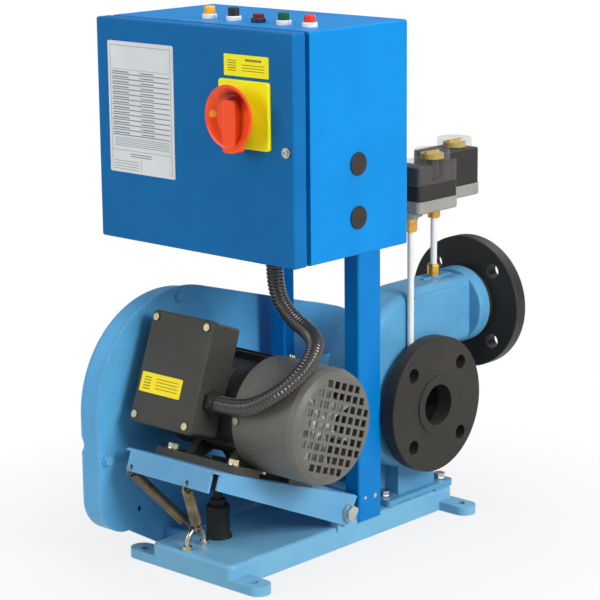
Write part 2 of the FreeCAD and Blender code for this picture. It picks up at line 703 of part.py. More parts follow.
def drive_belt():
    """Flat belt stretched round the two pulleys."""
    motor_y, motor_z = level_point(MOTOR_Y, MOTOR_Z)
    x0 = PULLEY_X - BELT_W / 2
    x1 = PULLEY_X + BELT_W / 2
    inner = [(BLOWER_Y, BLOWER_Z, BLOWER_PULLEY_R + BELT_LIFT), (motor_y, motor_z, MOTOR_PULLEY_R + BELT_LIFT)]
    outer = [(y, z, r + BELT_T) for y, z, r in inner]
    return circle_hull(outer, x0, x1).cut(circle_hull(inner, x0 - 1, x1 + 1))


def guard_circles(front, inset):
    """Rounds of the guard's outline: lower corner, blower end, motor end."""
    y, z, r = front
    return [(y - r + GUARD_CORNER_R, GUARD_BOTTOM_Z + GUARD_CORNER_R, GUARD_CORNER_R - inset),
            (BLOWER_Y, BLOWER_Z, GUARD_REAR_R - inset), (y, z, r - inset)]


def guard_block(inset, x_open):
    """Solid tray form, edge rounded on the outer side, bitten by the service notch."""
    out = GUARD_OUT_X + inset
    block = circle_hull(guard_circles(GUARD_COVER_FRONT, inset), out, x_open)
    block = block.makeFillet(GUARD_EDGE_R - inset, outline_edges(block, out))
    front = GUARD_COVER_FRONT[0] - GUARD_COVER_FRONT[2]
    bite = rod((GUARD_OUT_X, front - 5, NOTCH_Z), (GUARD_OUT_X, front + 22 + inset, NOTCH_Z), NOTCH_R + inset)
    return block.cut(bite)


def guard_cover():
    open_x = GUARD_FACE_X - GUARD_PLATE_T - SEAT_GAP
    shell = guard_block(0.0, open_x).cut(guard_block(GUARD_SHEET, open_x + 5))
    return shell.removeSplitter()


def guard_backplate():
    """Flat machine-side plate of the guard with shaft openings."""
    plate = circle_hull(guard_circles(GUARD_PLATE_FRONT, 0.0), GUARD_FACE_X - GUARD_PLATE_T, GUARD_FACE_X)
    x0 = GUARD_FACE_X - 9
    x1 = GUARD_FACE_X + 9
    motor_y, motor_z = level_point(MOTOR_Y, MOTOR_Z)
    slot = circle_hull([(motor_y - 1, motor_z - 2, 30.0), (motor_y + 15, motor_z + 8, 30.0)], x0, x1)
    bore = rod((x0, BLOWER_Y, BLOWER_Z), (x1, BLOWER_Y, BLOWER_Z), HOUSING_NOSE_R + 1)
    holes = [rod((x0, y, z), (x1, y, z), 3.3) for y, z in guard_screw_spots()]
    holes += [rod((x0, y, z), (x1, y, z), 3.3) for y, z in bracket_spots()]
    return plate.cut(Part.makeCompound([slot, bore] + holes))


def guard_screw_spots():
    y, z, r = GUARD_PLATE_FRONT
    return ((y - r + GUARD_SCREW_IN, z - 50), (y, z + r - GUARD_SCREW_IN),
            (BLOWER_Y + GUARD_REAR_R - GUARD_SCREW_IN, BLOWER_Z), (BLOWER_Y - 30, GUARD_BOTTOM_Z + 30))


def guard_screws():
    """Screws at the rim of the guard, heads on the machine side, into clinch nuts of the tray."""
    screws = []
    for y, z in guard_screw_spots():
        head = hexagon((GUARD_FACE_X + SEAT_GAP, y, z), (GUARD_FACE_X + 4.5, y, z), 10.0)
        washer = rod((GUARD_FACE_X + SEAT_GAP, y, z), (GUARD_FACE_X + 1.5, y, z), 7.5)
        shank = rod((GUARD_FACE_X - 12, y, z), (GUARD_FACE_X + 1, y, z), 3.0)
        nut = rod((GUARD_FACE_X - GUARD_PLATE_T - 7, y, z), (GUARD_FACE_X - GUARD_PLATE_T - SEAT_GAP, y, z), 5.0)
        screws.append(fuse([head, washer, shank, nut]))
    return Part.makeCompound(screws)


def bracket_spots():
    return ((BRACKET_FRONT_Y + 12, 58.0), (BRACKET_REAR_Y + 12, 78.0))


def guard_brackets():
    """Two folded brackets from the base side to the guard plate."""
    pieces = []
    near = -BASE_W / 2 - SEAT_GAP
    far = GUARD_FACE_X + SEAT_GAP
    for (y, z), y0 in zip(bracket_spots(), (BRACKET_FRONT_Y, BRACKET_REAR_Y)):
        panel = box(far, near - BRACKET_SHEET, y0, y0 + BRACKET_SHEET, 32.0, z + 14)
        wing = box(far, far + BRACKET_SHEET, y0, y0 + 24, 32.0, z + 14)
        top = box(near - BRACKET_SHEET - 1, near, y0, y0 + 26, BASE_H - 13, z + 14)
        leg = box(near - BRACKET_SHEET - 1, near - 1, y0, y0 + BRACKET_SHEET, BASE_H - 13, z + 14)
        screw = fuse([rod((far - GUARD_PLATE_T - 3, y, z), (far + 6, y, z), 3.0),
                      hexagon((far + BRACKET_SHEET, y, z), (far + BRACKET_SHEET + 4.5, y, z), 10.0)])
        foot_screw = hexagon((near - BRACKET_SHEET - 1, y0 + 14, BASE_H - 6),
                             (near - BRACKET_SHEET - 5, y0 + 14, BASE_H - 6), 10.0)
        pieces.append(fuse([panel, wing, top, leg, screw, foot_screw]))
    return Part.makeCompound(pieces)


def scroll_outline(inset):
    """Centres and radii of the four quarter arcs of the spiral, each tangent to the last."""
    r1, r2, r3, r4 = SCROLL_RADII
    z1 = BLOWER_Z + SCROLL_RISE
    y2 = BLOWER_Y - r1 + r2
    z3 = z1 - r2 + r3
    y4 = y2 + r3 - r4
    return ((BLOWER_Y, z1, r1 - inset), (y2, z1, r2 - inset), (y2, z3, r3 - inset), (y4, z3, r4 - inset))


def arc_spot(centre, radius, degrees, x):
    """Point of a circle in the YZ plane, the angle counted from +Y towards +Z."""
    turn = math.radians(degrees)
    return V(x, centre[0] + radius * math.cos(turn), centre[1] + radius * math.sin(turn))


def scroll_void(inset, x0, x1):
    """Extrude the spiral from the top, round the front and bottom, up to the outlet tongue."""
    edges = []
    corners = []
    for (y, z, r), (a0, a1) in zip(scroll_outline(inset), SCROLL_ANGLES):
        spots = [arc_spot((y, z), r, a, x0) for a in (a0, (a0 + a1) / 2, a1)]
        edges.append(Part.Arc(*spots).toShape())
        corners += [spots[0], spots[2]]
    edges.append(Part.LineSegment(corners[-1], corners[0]).toShape())
    return Part.Face(Part.Wire(edges)).extrude(V(x1 - x0, 0, 0))


def scroll_sector(y, z, r, a0, a1):
    """Wedge of the scroll with rounded rims, turned about its own arc's centre."""
    edge = SCROLL_EDGE_R
    slack = edge * (1 - math.sqrt(0.5))
    axis_0 = arc_spot((y, z), 0.0, a0, SCROLL_X0)
    axis_1 = arc_spot((y, z), 0.0, a0, SCROLL_X1)
    low = [arc_spot((y, z), r - edge, a0, SCROLL_X0), arc_spot((y, z), r - slack, a0, SCROLL_X0 + slack),
           arc_spot((y, z), r, a0, SCROLL_X0 + edge)]
    high = [arc_spot((y, z), r, a0, SCROLL_X1 - edge), arc_spot((y, z), r - slack, a0, SCROLL_X1 - slack),
            arc_spot((y, z), r - edge, a0, SCROLL_X1)]
    outline = Part.Wire([Part.LineSegment(axis_0, low[0]).toShape(), Part.Arc(*low).toShape(),
                         Part.LineSegment(low[2], high[0]).toShape(), Part.Arc(*high).toShape(),
                         Part.LineSegment(high[2], axis_1).toShape(), Part.LineSegment(axis_1, axis_0).toShape()])
    return Part.Face(outline).revolve(axis_0, X_AXIS, a1 - a0)


def scroll_shell():
    """Outside of the scroll: four rounded sectors, each tangent to the last, round a flat-sided core."""
    arcs = scroll_outline(0.0)
    sectors = [scroll_sector(*arc, *span) for arc, span in zip(arcs, SCROLL_ANGLES)]
    (y1, z1, r1), (y2, z2, _), (y3, z3, _), (y4, z4, r4) = arcs
    tongue = arc_spot((y4, z4), r4 - SCROLL_EDGE_R, TONGUE_ANGLE, 0.0)
    core = prism_x([(y1, z1 + r1 - SCROLL_EDGE_R), (y1, z1), (y2, z2), (y3, z3), (y4, z4), (tongue.y, tongue.z)],
                   SCROLL_X0, SCROLL_X1)
    return sectors + [core]


def blower_volute():
    """Cast scroll with its outlet duct and collar, inlet cover, tube bosses and foot."""
    duct = round_box(OUTLET_X - DUCT_HALF_W, OUTLET_X + DUCT_HALF_W, DUCT_Y0, DUCT_Y1 + 4,
                     OUTLET_Z - DUCT_HALF_H, OUTLET_Z + DUCT_HALF_H, SCROLL_EDGE_R, Y_AXIS)
    panel = round_box(SCROLL_X1 - 6, SCROLL_X1 + PANEL_T, DUCT_Y0 - 16, DUCT_Y1 - 23,
                      OUTLET_Z - DUCT_HALF_H + 8, OUTLET_Z + DUCT_HALF_H - 8, 10.0, X_AXIS)
    panel = panel.makeFillet(3.0, outline_edges(panel, SCROLL_X1 + PANEL_T))
    collar = rod((OUTLET_X, DUCT_Y1, OUTLET_Z), (OUTLET_X, DUCT_Y1 + COLLAR_T, OUTLET_Z), COLLAR_R)
    collar = collar.makeFillet(3.0, [e for e in collar.Edges if len(e.Vertexes) == 1])
    cover_end = INLET_FACE_X - FLANGE_T - SEAT_GAP
    cover = revolve_x([(SCROLL_X1 - 4, 0), (SCROLL_X1 - 4, COVER_R), (cover_end - 2, COVER_R), (cover_end, COVER_R - 2),
                       (cover_end, 0)], BLOWER_Y, BLOWER_Z)
    hub = rod((SCROLL_X0 - 6, BLOWER_Y, BLOWER_Z), (SCROLL_X0 + 8, BLOWER_Y, BLOWER_Z), 52.0)
    boss = rod((*SWITCH_PLACES[1], OUTLET_Z), (*SWITCH_PLACES[1], BOSS_TOP_B), 10.0)
    web = box(SWITCH_PLACES[1][0] - 3, SWITCH_PLACES[1][0] + 3, SWITCH_PLACES[1][1] - 22,
              SWITCH_PLACES[1][1] + 30, OUTLET_Z, BOSS_TOP_B - 1.5)
    foot_z = BASE_H + SEAT_GAP
    foot = round_box(5, 65.5, FOOT_Y0, FOOT_Y1, foot_z, foot_z + FOOT_PLATE_T, 5.0, Z_AXIS)
    relief = box(4, 67, FOOT_Y0 + 13, FOOT_Y1 - 35, foot_z - 1, foot_z + 2.5)
    column = box(14, 56, BLOWER_Y - 30, BLOWER_Y + 38, foot_z + 3, BLOWER_Z - 78)
    rib = prism_x([(FOOT_Y0 + 4, foot_z + 3), (FOOT_Y1 - 4, foot_z + 3), (BLOWER_Y + 44, BLOWER_Z - 74),
                   (BLOWER_Y - 44, BLOWER_Z - 74)], 27, 35)
    casting = fuse([*scroll_shell(), duct, panel, collar, cover, hub, boss, web, foot, column, rib])
    void = scroll_void(SCROLL_WALL, SCROLL_X0 + SCROLL_WALL, SCROLL_X1 - SCROLL_WALL)
    cuts = [void, relief,
            rod((OUTLET_X, BLOWER_Y + 24, OUTLET_Z), (OUTLET_X, DUCT_Y1 + COLLAR_T + 1, OUTLET_Z), FLANGE_BORE_R),
            rod((SCROLL_X1 - 20, BLOWER_Y, BLOWER_Z), (cover_end + 1, BLOWER_Y, BLOWER_Z), FLANGE_BORE_R),
            rod((SCROLL_X0 - 9, BLOWER_Y, BLOWER_Z), (SCROLL_X0 + 9, BLOWER_Y, BLOWER_Z), SEAL_R + SEAT_GAP)]
    for x, y in foot_bolt_spots():
        cuts.append(rod((x, y, foot_z - 1), (x, y, foot_z + FOOT_PLATE_T + 1), 4.2))
    for (x, y), z in zip(SWITCH_PLACES, TUBE_SEATS):
        cuts.append(rod((x, y, z - 14), (x, y, z + 1), TUBE_R + SEAT_GAP))
    return casting.cut(Part.makeCompound(cuts))


def foot_bolt_spots():
    return ((45.0, FOOT_Y0 + 14), (51.0, FOOT_Y1 - 10), (16.0, FOOT_Y0 + 14), (16.0, FOOT_Y1 - 10))


def blower_bolts():
    """Foot bolts of the blower casing."""
    top = BASE_H + SEAT_GAP + FOOT_PLATE_T
    bolts = []
    for x, y in foot_bolt_spots():
        bolts.append(fuse([rod((x, y, BASE_H + SEAT_GAP), (x, y, top + 2), 4.0),
                           rod((x, y, top + SEAT_GAP), (x, y, top + 1.6), 8.0),
                           hexagon((x, y, top + 1.5), (x, y, top + 7), 13.0)]))
    return Part.makeCompound(bolts)


def pipe_flange(face_x):
    """DN50 flange disc turned about X, with four bolt holes off the centre lines."""
    disc = rod((face_x - FLANGE_T, BLOWER_Y, BLOWER_Z), (face_x, BLOWER_Y, BLOWER_Z), FLANGE_R)
    disc = disc.makeFillet(1.5, [e for e in disc.Edges if len(e.Vertexes) == 1])
    hub = rod((face_x - 1, BLOWER_Y, BLOWER_Z), (face_x + HUB_H, BLOWER_Y, BLOWER_Z), HUB_R)
    cuts = [rod((face_x - FLANGE_T - 1, BLOWER_Y, BLOWER_Z), (face_x + 9, BLOWER_Y, BLOWER_Z), FLANGE_BORE_R)]
    for i in range(4):
        angle = math.radians(45 + 90 * i)
        y = BLOWER_Y + FLANGE_PCD / 2 * math.cos(angle)
        z = BLOWER_Z + FLANGE_PCD / 2 * math.sin(angle)
        cuts.append(rod((face_x - FLANGE_T - 1, y, z), (face_x + 1, y, z), FLANGE_HOLE_R))
    return fuse([disc, hub]).cut(Part.makeCompound(cuts))


def inlet_flange():
    return pipe_flange(INLET_FACE_X)


def outlet_face_y():
    return DUCT_Y1 + COLLAR_T + SEAT_GAP + OUTLET_NECK + FLANGE_T


def outlet_flange():
    face = outlet_face_y()
    disc = rod((OUTLET_X, face - FLANGE_T, OUTLET_Z), (OUTLET_X, face, OUTLET_Z), FLANGE_R)
    disc = disc.makeFillet(1.5, [e for e in disc.Edges if len(e.Vertexes) == 1])
    neck = rod((OUTLET_X, face - FLANGE_T - OUTLET_NECK, OUTLET_Z), (OUTLET_X, face - 1, OUTLET_Z), COLLAR_R - 3)
    hub = rod((OUTLET_X, face - 1, OUTLET_Z), (OUTLET_X, face + HUB_H, OUTLET_Z), HUB_R)
    cuts = [rod((OUTLET_X, face - 60, OUTLET_Z), (OUTLET_X, face + 9, OUTLET_Z), FLANGE_BORE_R)]
    for i in range(4):
        angle = math.radians(45 + 90 * i)
        x = OUTLET_X + FLANGE_PCD / 2 * math.cos(angle)
        z = OUTLET_Z + FLANGE_PCD / 2 * math.sin(angle)
        cuts.append(rod((x, face - FLANGE_T - 1, z), (x, face + 1, z), FLANGE_HOLE_R))
    return fuse([disc, neck, hub]).cut(Part.makeCompound(cuts))


def bearing_housing():
    """Cast bearing pedestal between the scroll and the guard."""
    x1 = SCROLL_X0 - 6 - SEAT_GAP
    body = revolve_x([(HOUSING_X0 - 5, 0), (HOUSING_X0 - 5, HOUSING_NOSE_R - 2), (HOUSING_X0, HOUSING_R),
                      (x1 - 14, HOUSING_R), (x1 - 9, 52), (x1, 52), (x1, 0)], BLOWER_Y, BLOWER_Z)
    foot_z = BASE_H + SEAT_GAP
    foot = round_box(-62, 4.5, FOOT_Y0, FOOT_Y1, foot_z, foot_z + FOOT_PLATE_T, 5.0, Z_AXIS)
    wall = prism_x([(BLOWER_Y - 40, foot_z + 3), (BLOWER_Y + 46, foot_z + 3), (BLOWER_Y + 26, BLOWER_Z - 20),
                    (BLOWER_Y - 26, BLOWER_Z - 20)], -44, -32)
    gusset = box(-60, -4, BLOWER_Y - 6, BLOWER_Y + 6, foot_z + 3, BLOWER_Z - 26)
    housing = fuse([body, foot, wall, gusset])
    seats = [rod((HOUSING_X0 - 9, BLOWER_Y, BLOWER_Z), (HOUSING_X0 + BEARING_W + 1, BLOWER_Y, BLOWER_Z),
                 BEARING_R + SEAT_GAP),
             rod((x1 - BEARING_W - 6, BLOWER_Y, BLOWER_Z), (x1 + 1, BLOWER_Y, BLOWER_Z), BEARING_R + SEAT_GAP),
             rod((HOUSING_X0 - 9, BLOWER_Y, BLOWER_Z), (x1 + 1, BLOWER_Y, BLOWER_Z), BLOWER_SHAFT_R + 4)]
    holes = [rod((x, y, foot_z - 1), (x, y, foot_z + FOOT_PLATE_T + 1), 4.2) for x, y in housing_bolt_spots()]
    return housing.cut(Part.makeCompound(seats + holes))


def housing_bolt_spots():
    return ((-54.0, FOOT_Y0 + 8), (-54.0, FOOT_Y1 - 9))


def housing_bolts():
    top = BASE_H + SEAT_GAP + FOOT_PLATE_T
    bolts = []
    for x, y in housing_bolt_spots():
        bolts.append(fuse([rod((x, y, BASE_H + SEAT_GAP), (x, y, top + 2), 4.0),
                           rod((x, y, top + SEAT_GAP), (x, y, top + 1.6), 8.0),
                           hexagon((x, y, top + 1.5), (x, y, top + 7), 13.0)]))
    return Part.makeCompound(bolts)


def blower_bearings():
    rings = []
    for x in (HOUSING_X0 + 0.5, SCROLL_X0 - 6 - SEAT_GAP - BEARING_W - 5):
        rings.append(pipe((x, BLOWER_Y, BLOWER_Z), (x + BEARING_W, BLOWER_Y, BLOWER_Z),
                          BEARING_R, BLOWER_SHAFT_R + RUN_FIT))
    return Part.makeCompound(rings)


def shaft_seal():
    return pipe((SCROLL_X0 - 6, BLOWER_Y, BLOWER_Z), (SCROLL_X0 + 4, BLOWER_Y, BLOWER_Z),
                SEAL_R, BLOWER_SHAFT_R + RUN_FIT)


def blower_shaft():
    return rod((PULLEY_X0 - 1, BLOWER_Y, BLOWER_Z), (IMPELLER_X0 + IMPELLER_W + 4, BLOWER_Y, BLOWER_Z),
               BLOWER_SHAFT_R)


def impeller():
    """Backward-curved impeller with a back disc, blades and a shroud ring."""
    x0 = IMPELLER_X0
    x1 = x0 + IMPELLER_W
    back = pipe((x0, BLOWER_Y, BLOWER_Z), (x0 + 2, BLOWER_Y, BLOWER_Z), IMPELLER_R, BLOWER_SHAFT_R)
    hub = pipe((x0, BLOWER_Y, BLOWER_Z), (x1 + 3, BLOWER_Y, BLOWER_Z), BLOWER_SHAFT_R + 8, BLOWER_SHAFT_R)
    shroud = pipe((x1 - 2, BLOWER_Y, BLOWER_Z), (x1, BLOWER_Y, BLOWER_Z), IMPELLER_R, EYE_R)
    blades = []
    for i in range(BLADES):
        inner = V(x0 + 1, EYE_R + 1, 0)
        middle = V(x0 + 1, (EYE_R + IMPELLER_R) / 2 + 3, 10)
        outer = V(x0 + 1, (IMPELLER_R - 1) * math.cos(math.radians(30)), (IMPELLER_R - 1) * 0.5)
        wide = V(0, -1.2, 2.2)
        arc_a = Part.Arc(inner, middle, outer).toShape()
        arc_b = Part.Arc(inner + wide, middle + wide, outer + V(0, -1.0, 1.6)).toShape()
        ends = [Part.LineSegment(outer, outer + V(0, -1.0, 1.6)).toShape(),
                Part.LineSegment(inner + wide, inner).toShape()]
        wire = Part.Wire(Part.__sortEdges__([arc_a, ends[0], arc_b, ends[1]]))
        blade = Part.Face(wire).extrude(V(IMPELLER_W - 2, 0, 0))
        blade.rotate(V(0, 0, 0), X_AXIS, 360.0 * i / BLADES)
        blade.translate(V(0, BLOWER_Y, BLOWER_Z))
        blades.append(blade)
    return fuse([back, hub, shroud] + blades)


def terminal_box():
    """Moulded box on the motor's front side, open towards its lid."""
    y_back = LID_FACE_Y + BOX_DEPTH
    y_front = LID_FACE_Y + LID_T
    outer = round_box(BOX_X0, BOX_X1, y_front, y_back, MOTOR_Z + BOX_Z0, MOTOR_Z + BOX_Z1, 5.0, Y_AXIS)
    inner = box(BOX_X0 + BOX_WALL, BOX_X1 - BOX_WALL, y_front - 1, y_back - BOX_WALL,
                MOTOR_Z + BOX_Z0 + BOX_WALL, MOTOR_Z + BOX_Z1 - BOX_WALL)
    entry = rod((BOX_X1 - 9, MOTOR_Y + GLAND_Y, MOTOR_Z + GLAND_Z),
                (BOX_X1 + 9, MOTOR_Y + GLAND_Y, MOTOR_Z + GLAND_Z), 8.2)
    posts = [rod((x, y_front, z), (x, y_back - 1, z), 4.5) for x, z in lid_screw_spots()]
    holes = [rod((x, y_front - 1, z), (x, y_front + 14, z), 2.2) for x, z in lid_screw_spots()]
    return tilted(outer.cut(inner).multiFuse(posts).removeSplitter().cut(Part.makeCompound([entry] + holes)))


def lid_screw_spots():
    margin = 7.0
    return [(x, z) for x in (BOX_X0 + margin, BOX_X1 - margin)
            for z in (MOTOR_Z + BOX_Z0 + margin, MOTOR_Z + BOX_Z1 - margin)]


def terminal_lid():
    y_front = LID_FACE_Y + LID_T - SEAT_GAP
    lid = round_box(BOX_X0 - 1.5, BOX_X1 + 1.5, LID_FACE_Y, y_front, MOTOR_Z + BOX_Z0 - 1.5,
                    MOTOR_Z + BOX_Z1 + 1.5, 6.0, Y_AXIS)
    rim = [e for e in lid.Edges if abs(e.BoundBox.YMax - LID_FACE_Y) < 0.01]
    lid = lid.makeFillet(2.5, rim)
    holes = [rod((x, LID_FACE_Y - 1, z), (x, y_front + 1, z), 2.2) for x, z in lid_screw_spots()]
    seam_z = MOTOR_Z + BOX_Z1 - LID_SEAM_DOWN
    seam = box(BOX_X0 - 3, BOX_X1 + 3, LID_FACE_Y - 1, LID_FACE_Y + LID_SEAM_DEEP, seam_z, seam_z + LID_SEAM_W)
    return tilted(lid.cut(Part.makeCompound(holes + [seam])))


def lid_screws():
    screws = []
    for x, z in lid_screw_spots():
        head = rod((x, LID_FACE_Y - 2.2, z), (x, LID_FACE_Y - SEAT_GAP, z), 4.2)
        shank = rod((x, LID_FACE_Y - 1, z), (x, LID_FACE_Y + LID_T + 10, z), 2.0)
        screws.append(fuse([head, shank]))
    return tilted(Part.makeCompound(screws))


def cabinet_gland():
    """Threaded gland and lock nut in the cabinet floor."""
    x, y, mouth = CONDUIT_ROUTE[-1]
    return fuse([rod((x, y, mouth + SEAT_GAP), (x, y, CAB_Z - SEAT_GAP), 12.5),
                 hexagon((x, y, CAB_Z - 12), (x, y, CAB_Z - SEAT_GAP), 27.0),
                 rod((x, y, CAB_Z - 1), (x, y, CAB_Z + 9), 8.0),
                 hexagon((x, y, CAB_Z + CAB_SHEET + SEAT_GAP), (x, y, CAB_Z + 7), 22.0)])


def motor_gland():
    y = MOTOR_Y + GLAND_Y
    z = MOTOR_Z + GLAND_Z
    end_x = CONDUIT_START_X - SEAT_GAP
    return tilted(fuse([rod((BOX_X1 - 6, y, z), (BOX_X1 + 2, y, z), 8.0),
                        hexagon((BOX_X1 + SEAT_GAP, y, z), (BOX_X1 + 8, y, z), 24.0),
                        rod((BOX_X1 + 4, y, z), (end_x, y, z), 12.0)]))


def conduit():
    """Plain tube of straight runs joined by tangent arcs; prints each bend radius."""
    port = level_point(MOTOR_Y + GLAND_Y, MOTOR_Z + GLAND_Z)
    points = [V(CONDUIT_START_X, *port), V(CONDUIT_START_X + 30, *port)] + [V(*p) for p in CONDUIT_ROUTE]
    edges = []
    position = points[0]
    for before, corner, after in zip(points, points[1:], points[2:]):
        back = before - corner
        ahead = after - corner
        shorter = min(back.Length, ahead.Length)
        half_turn = (math.pi - back.getAngle(ahead)) / 2
        radius = 0.45 * shorter / math.tan(half_turn)
        print("conduit bend radius %.1f, turn %.1f, run %.1f" % (radius, math.degrees(2 * half_turn), back.Length))
        trim = 0.45 * shorter
        enter = corner + V(back).normalize() * trim
        leave = corner + V(ahead).normalize() * trim
        inward = (V(back).normalize() + V(ahead).normalize()).normalize()
        depth = radius / math.cos(half_turn) - radius
        edges.append(Part.LineSegment(position, enter).toShape())
        edges.append(Part.Arc(enter, corner + inward * depth, leave).toShape())
        position = leave
    edges.append(Part.LineSegment(position, points[-1]).toShape())
    path = Part.Wire(edges)
    start = points[1] - points[0]
    profile = Part.Wire([Part.makeCircle(CONDUIT_R, points[0], start)])
    tube = path.makePipeShell([profile], True, False)
    print("conduit length %.1f, volume ratio %.4f"
          % (path.Length, tube.Volume / (math.pi * CONDUIT_R ** 2 * path.Length)))
    return tube


def foot_bolts():
    """Motor foot bolts with nuts under the platform."""
    bolts = []
    for x in (FOOT_X - FOOT_B / 2, FOOT_X + FOOT_B / 2):
        for sy in (-1, 1):
            y = MOTOR_Y + sy * FOOT_A / 2
            top = WEB_TOP + FOOT_T
            under = WEB_TOP - WEB_SHEET
            bolts.append(fuse([rod((x, y, under - 9), (x, y, top + 2), 3.5),
                               rod((x, y, top + SEAT_GAP), (x, y, top + 1.6), 7.5),
                               hexagon((x, y, top + 1.5), (x, y, top + 6.5), 11.0),
                               hexagon((x, y, under - 6), (x, y, under - SEAT_GAP), 11.0)]))
    return tilted(Part.makeCompound(bolts))


def u_bolt():
    """Bent rod standing in the base, both legs nutted."""
    top = BASE_H + UBOLT_LEG
    arch = Part.Arc(V(UBOLT_X, UBOLT_Y - UBOLT_HALF, top), V(UBOLT_X, UBOLT_Y, top + UBOLT_HALF),
                    V(UBOLT_X, UBOLT_Y + UBOLT_HALF, top)).toShape()
    legs = [rod((UBOLT_X, y, BASE_H + SEAT_GAP), (UBOLT_X, y, top), UBOLT_ROD_R)
            for y in (UBOLT_Y - UBOLT_HALF, UBOLT_Y + UBOLT_HALF)]
    profile = Part.Wire([Part.makeCircle(UBOLT_ROD_R, V(UBOLT_X, UBOLT_Y - UBOLT_HALF, top), Z_AXIS)])
    bend = Part.Wire([arch]).makePipeShell([profile], True, False)
    nuts = [hexagon((UBOLT_X, y, BASE_H + SEAT_GAP), (UBOLT_X, y, BASE_H + 5), 10.0)
            for y in (UBOLT_Y - UBOLT_HALF, UBOLT_Y + UBOLT_HALF)]
    return fuse([bend] + legs + nuts)


def spring_ends(index):
    """Loop centres of one spring: round the U-bolt arch and through the platform's front flange."""
    reach = UBOLT_LOOP_Y * (1 if index == 0 else -1)
    rise = math.sqrt(UBOLT_HALF ** 2 - reach ** 2)
    lift = SPRING_HOOK_R - SPRING_WIRE - UBOLT_ROD_R - MOVE_GAP
    low = V(UBOLT_X, UBOLT_Y + reach, BASE_H + UBOLT_LEG + rise + lift)
    y, z = level_point(WEB_FRONT + WEB_SHEET / 2, spring_hole_z() - SPRING_HOOK_R)
    return low, V(SPRING_X[index], y, z)


def tension_spring(index):
    """Extension spring drawn as stacked coil ridges, with a neck and an end loop at each end."""
    low, high = spring_ends(index)
    axis = high - low
    start = SPRING_NECK
    body = axis.Length - SPRING_NECK - SPRING_HOOK_R
    pitch = body / SPRING_RINGS
    outline = [V(0, 0, start)]
    for i in range(SPRING_RINGS):
        z = start + i * pitch
        outline += [V(SPRING_R - SPRING_WIRE, 0, z), V(SPRING_R, 0, z + pitch / 2)]
    outline += [V(SPRING_R - SPRING_WIRE, 0, start + body), V(0, 0, start + body)]
    coil = Part.Face(Part.makePolygon(outline + outline[:1])).revolve(V(0, 0, 0), Z_AXIS, 360)
    neck = rod((0, 0, SPRING_HOOK_R), (0, 0, start + 1), SPRING_WIRE)
    spring = coil.fuse(neck)
    spring.Placement = FreeCAD.Placement(low, FreeCAD.Rotation(Z_AXIS, axis))
    loops = [Part.makeTorus(SPRING_HOOK_R, SPRING_WIRE, low, Y_AXIS),
             Part.makeTorus(SPRING_HOOK_R, SPRING_WIRE, high, X_AXIS)]
    return fuse([spring] + loops)


def rubber_buffer():
    """Rubber stop on the base, waisted, with metal end discs."""
    z0 = BASE_H + SEAT_GAP
    z1 = BASE_H + BUFFER_H
    outline = [V(0, 0, z0), V(BUFFER_R + 2, 0, z0), V(BUFFER_R + 2, 0, z0 + 2), V(BUFFER_R, 0, z0 + 3),
               V(BUFFER_R - 0.8, 0, (z0 + z1) / 2), V(BUFFER_R, 0, z1 - 2), V(BUFFER_R - 1, 0, z1),
               V(0, 0, z1)]
    solid = Part.Face(Part.makePolygon(outline + outline[:1])).revolve(V(0, 0, 0), Z_AXIS, 360)
    solid.translate(V(BUFFER_X, BUFFER_Y, 0))
    return solid


def buffer_stop():
    """Height-set stud with jam nut and rubber dome above the buffer."""
    z0 = BASE_H + BUFFER_H + SEAT_GAP
    angle = math.radians(TILT)
    under = WEB_TOP - WEB_SHEET
    web_z = PIVOT_Z + (PIVOT_Y - BUFFER_Y) * math.tan(angle) + under / math.cos(angle)
    dome_z = web_z - (BUFFER_PAD_R + BUFFER_GAP) / math.cos(angle)
    spot = (BUFFER_X, BUFFER_Y)
    nut = hexagon((*spot, z0), (*spot, z0 + 7), 17.0)
    stud = rod((*spot, z0), (*spot, dome_z), 5.0)
    pad = rod((*spot, dome_z - 9), (*spot, dome_z), BUFFER_PAD_R)
    dome = Part.makeSphere(BUFFER_PAD_R, V(*spot, dome_z), Z_AXIS, 0, 90, 360)
    return fuse([nut, stud, pad, dome])


def cabinet_body():
    """Folded box with a recessed front lip, open at the front."""
    half = CAB_W / 2
    outer = round_box(-half, half, CAB_FRONT_Y, CAB_BACK_Y, CAB_Z, TOP_Z, CAB_EDGE_R, Y_AXIS)
    lip = box(-half + LIP_IN, half - LIP_IN, CAB_FRONT_Y - LIP_H, CAB_FRONT_Y + 1,
              CAB_Z + LIP_IN, TOP_Z - LIP_IN)
    inner = box(-half + CAB_SHEET, half - CAB_SHEET, CAB_FRONT_Y + CAB_SHEET, CAB_BACK_Y - CAB_SHEET,
                CAB_Z + CAB_SHEET, TOP_Z - CAB_SHEET)
    mouth_in = LIP_IN + CAB_SHEET
    mouth = box(-half + mouth_in, half - mouth_in, CAB_FRONT_Y - LIP_H - 1, CAB_FRONT_Y + 5,
                CAB_Z + mouth_in, TOP_Z - mouth_in)
    cuts = [inner, mouth]
    for x in top_places():
        cuts.append(rod((x, TOP_Y, TOP_Z - 9), (x, TOP_Y, TOP_Z + 9), PANEL_HOLE_R))
    for z in PLUG_Z:
        cuts.append(rod((half - 9, PLUG_Y, z), (half + 9, PLUG_Y, z), PLUG_R - 2.5))
    entry = CONDUIT_ROUTE[-1][:2]
    cuts.append(rod((*entry, CAB_Z - 9), (*entry, CAB_Z + 9), 8.0 + SEAT_GAP))
    return fuse([outer, lip]).cut(Part.makeCompound(cuts))


def top_places():
    return [TOP_X0 + TOP_PITCH * i for i in range(5)]


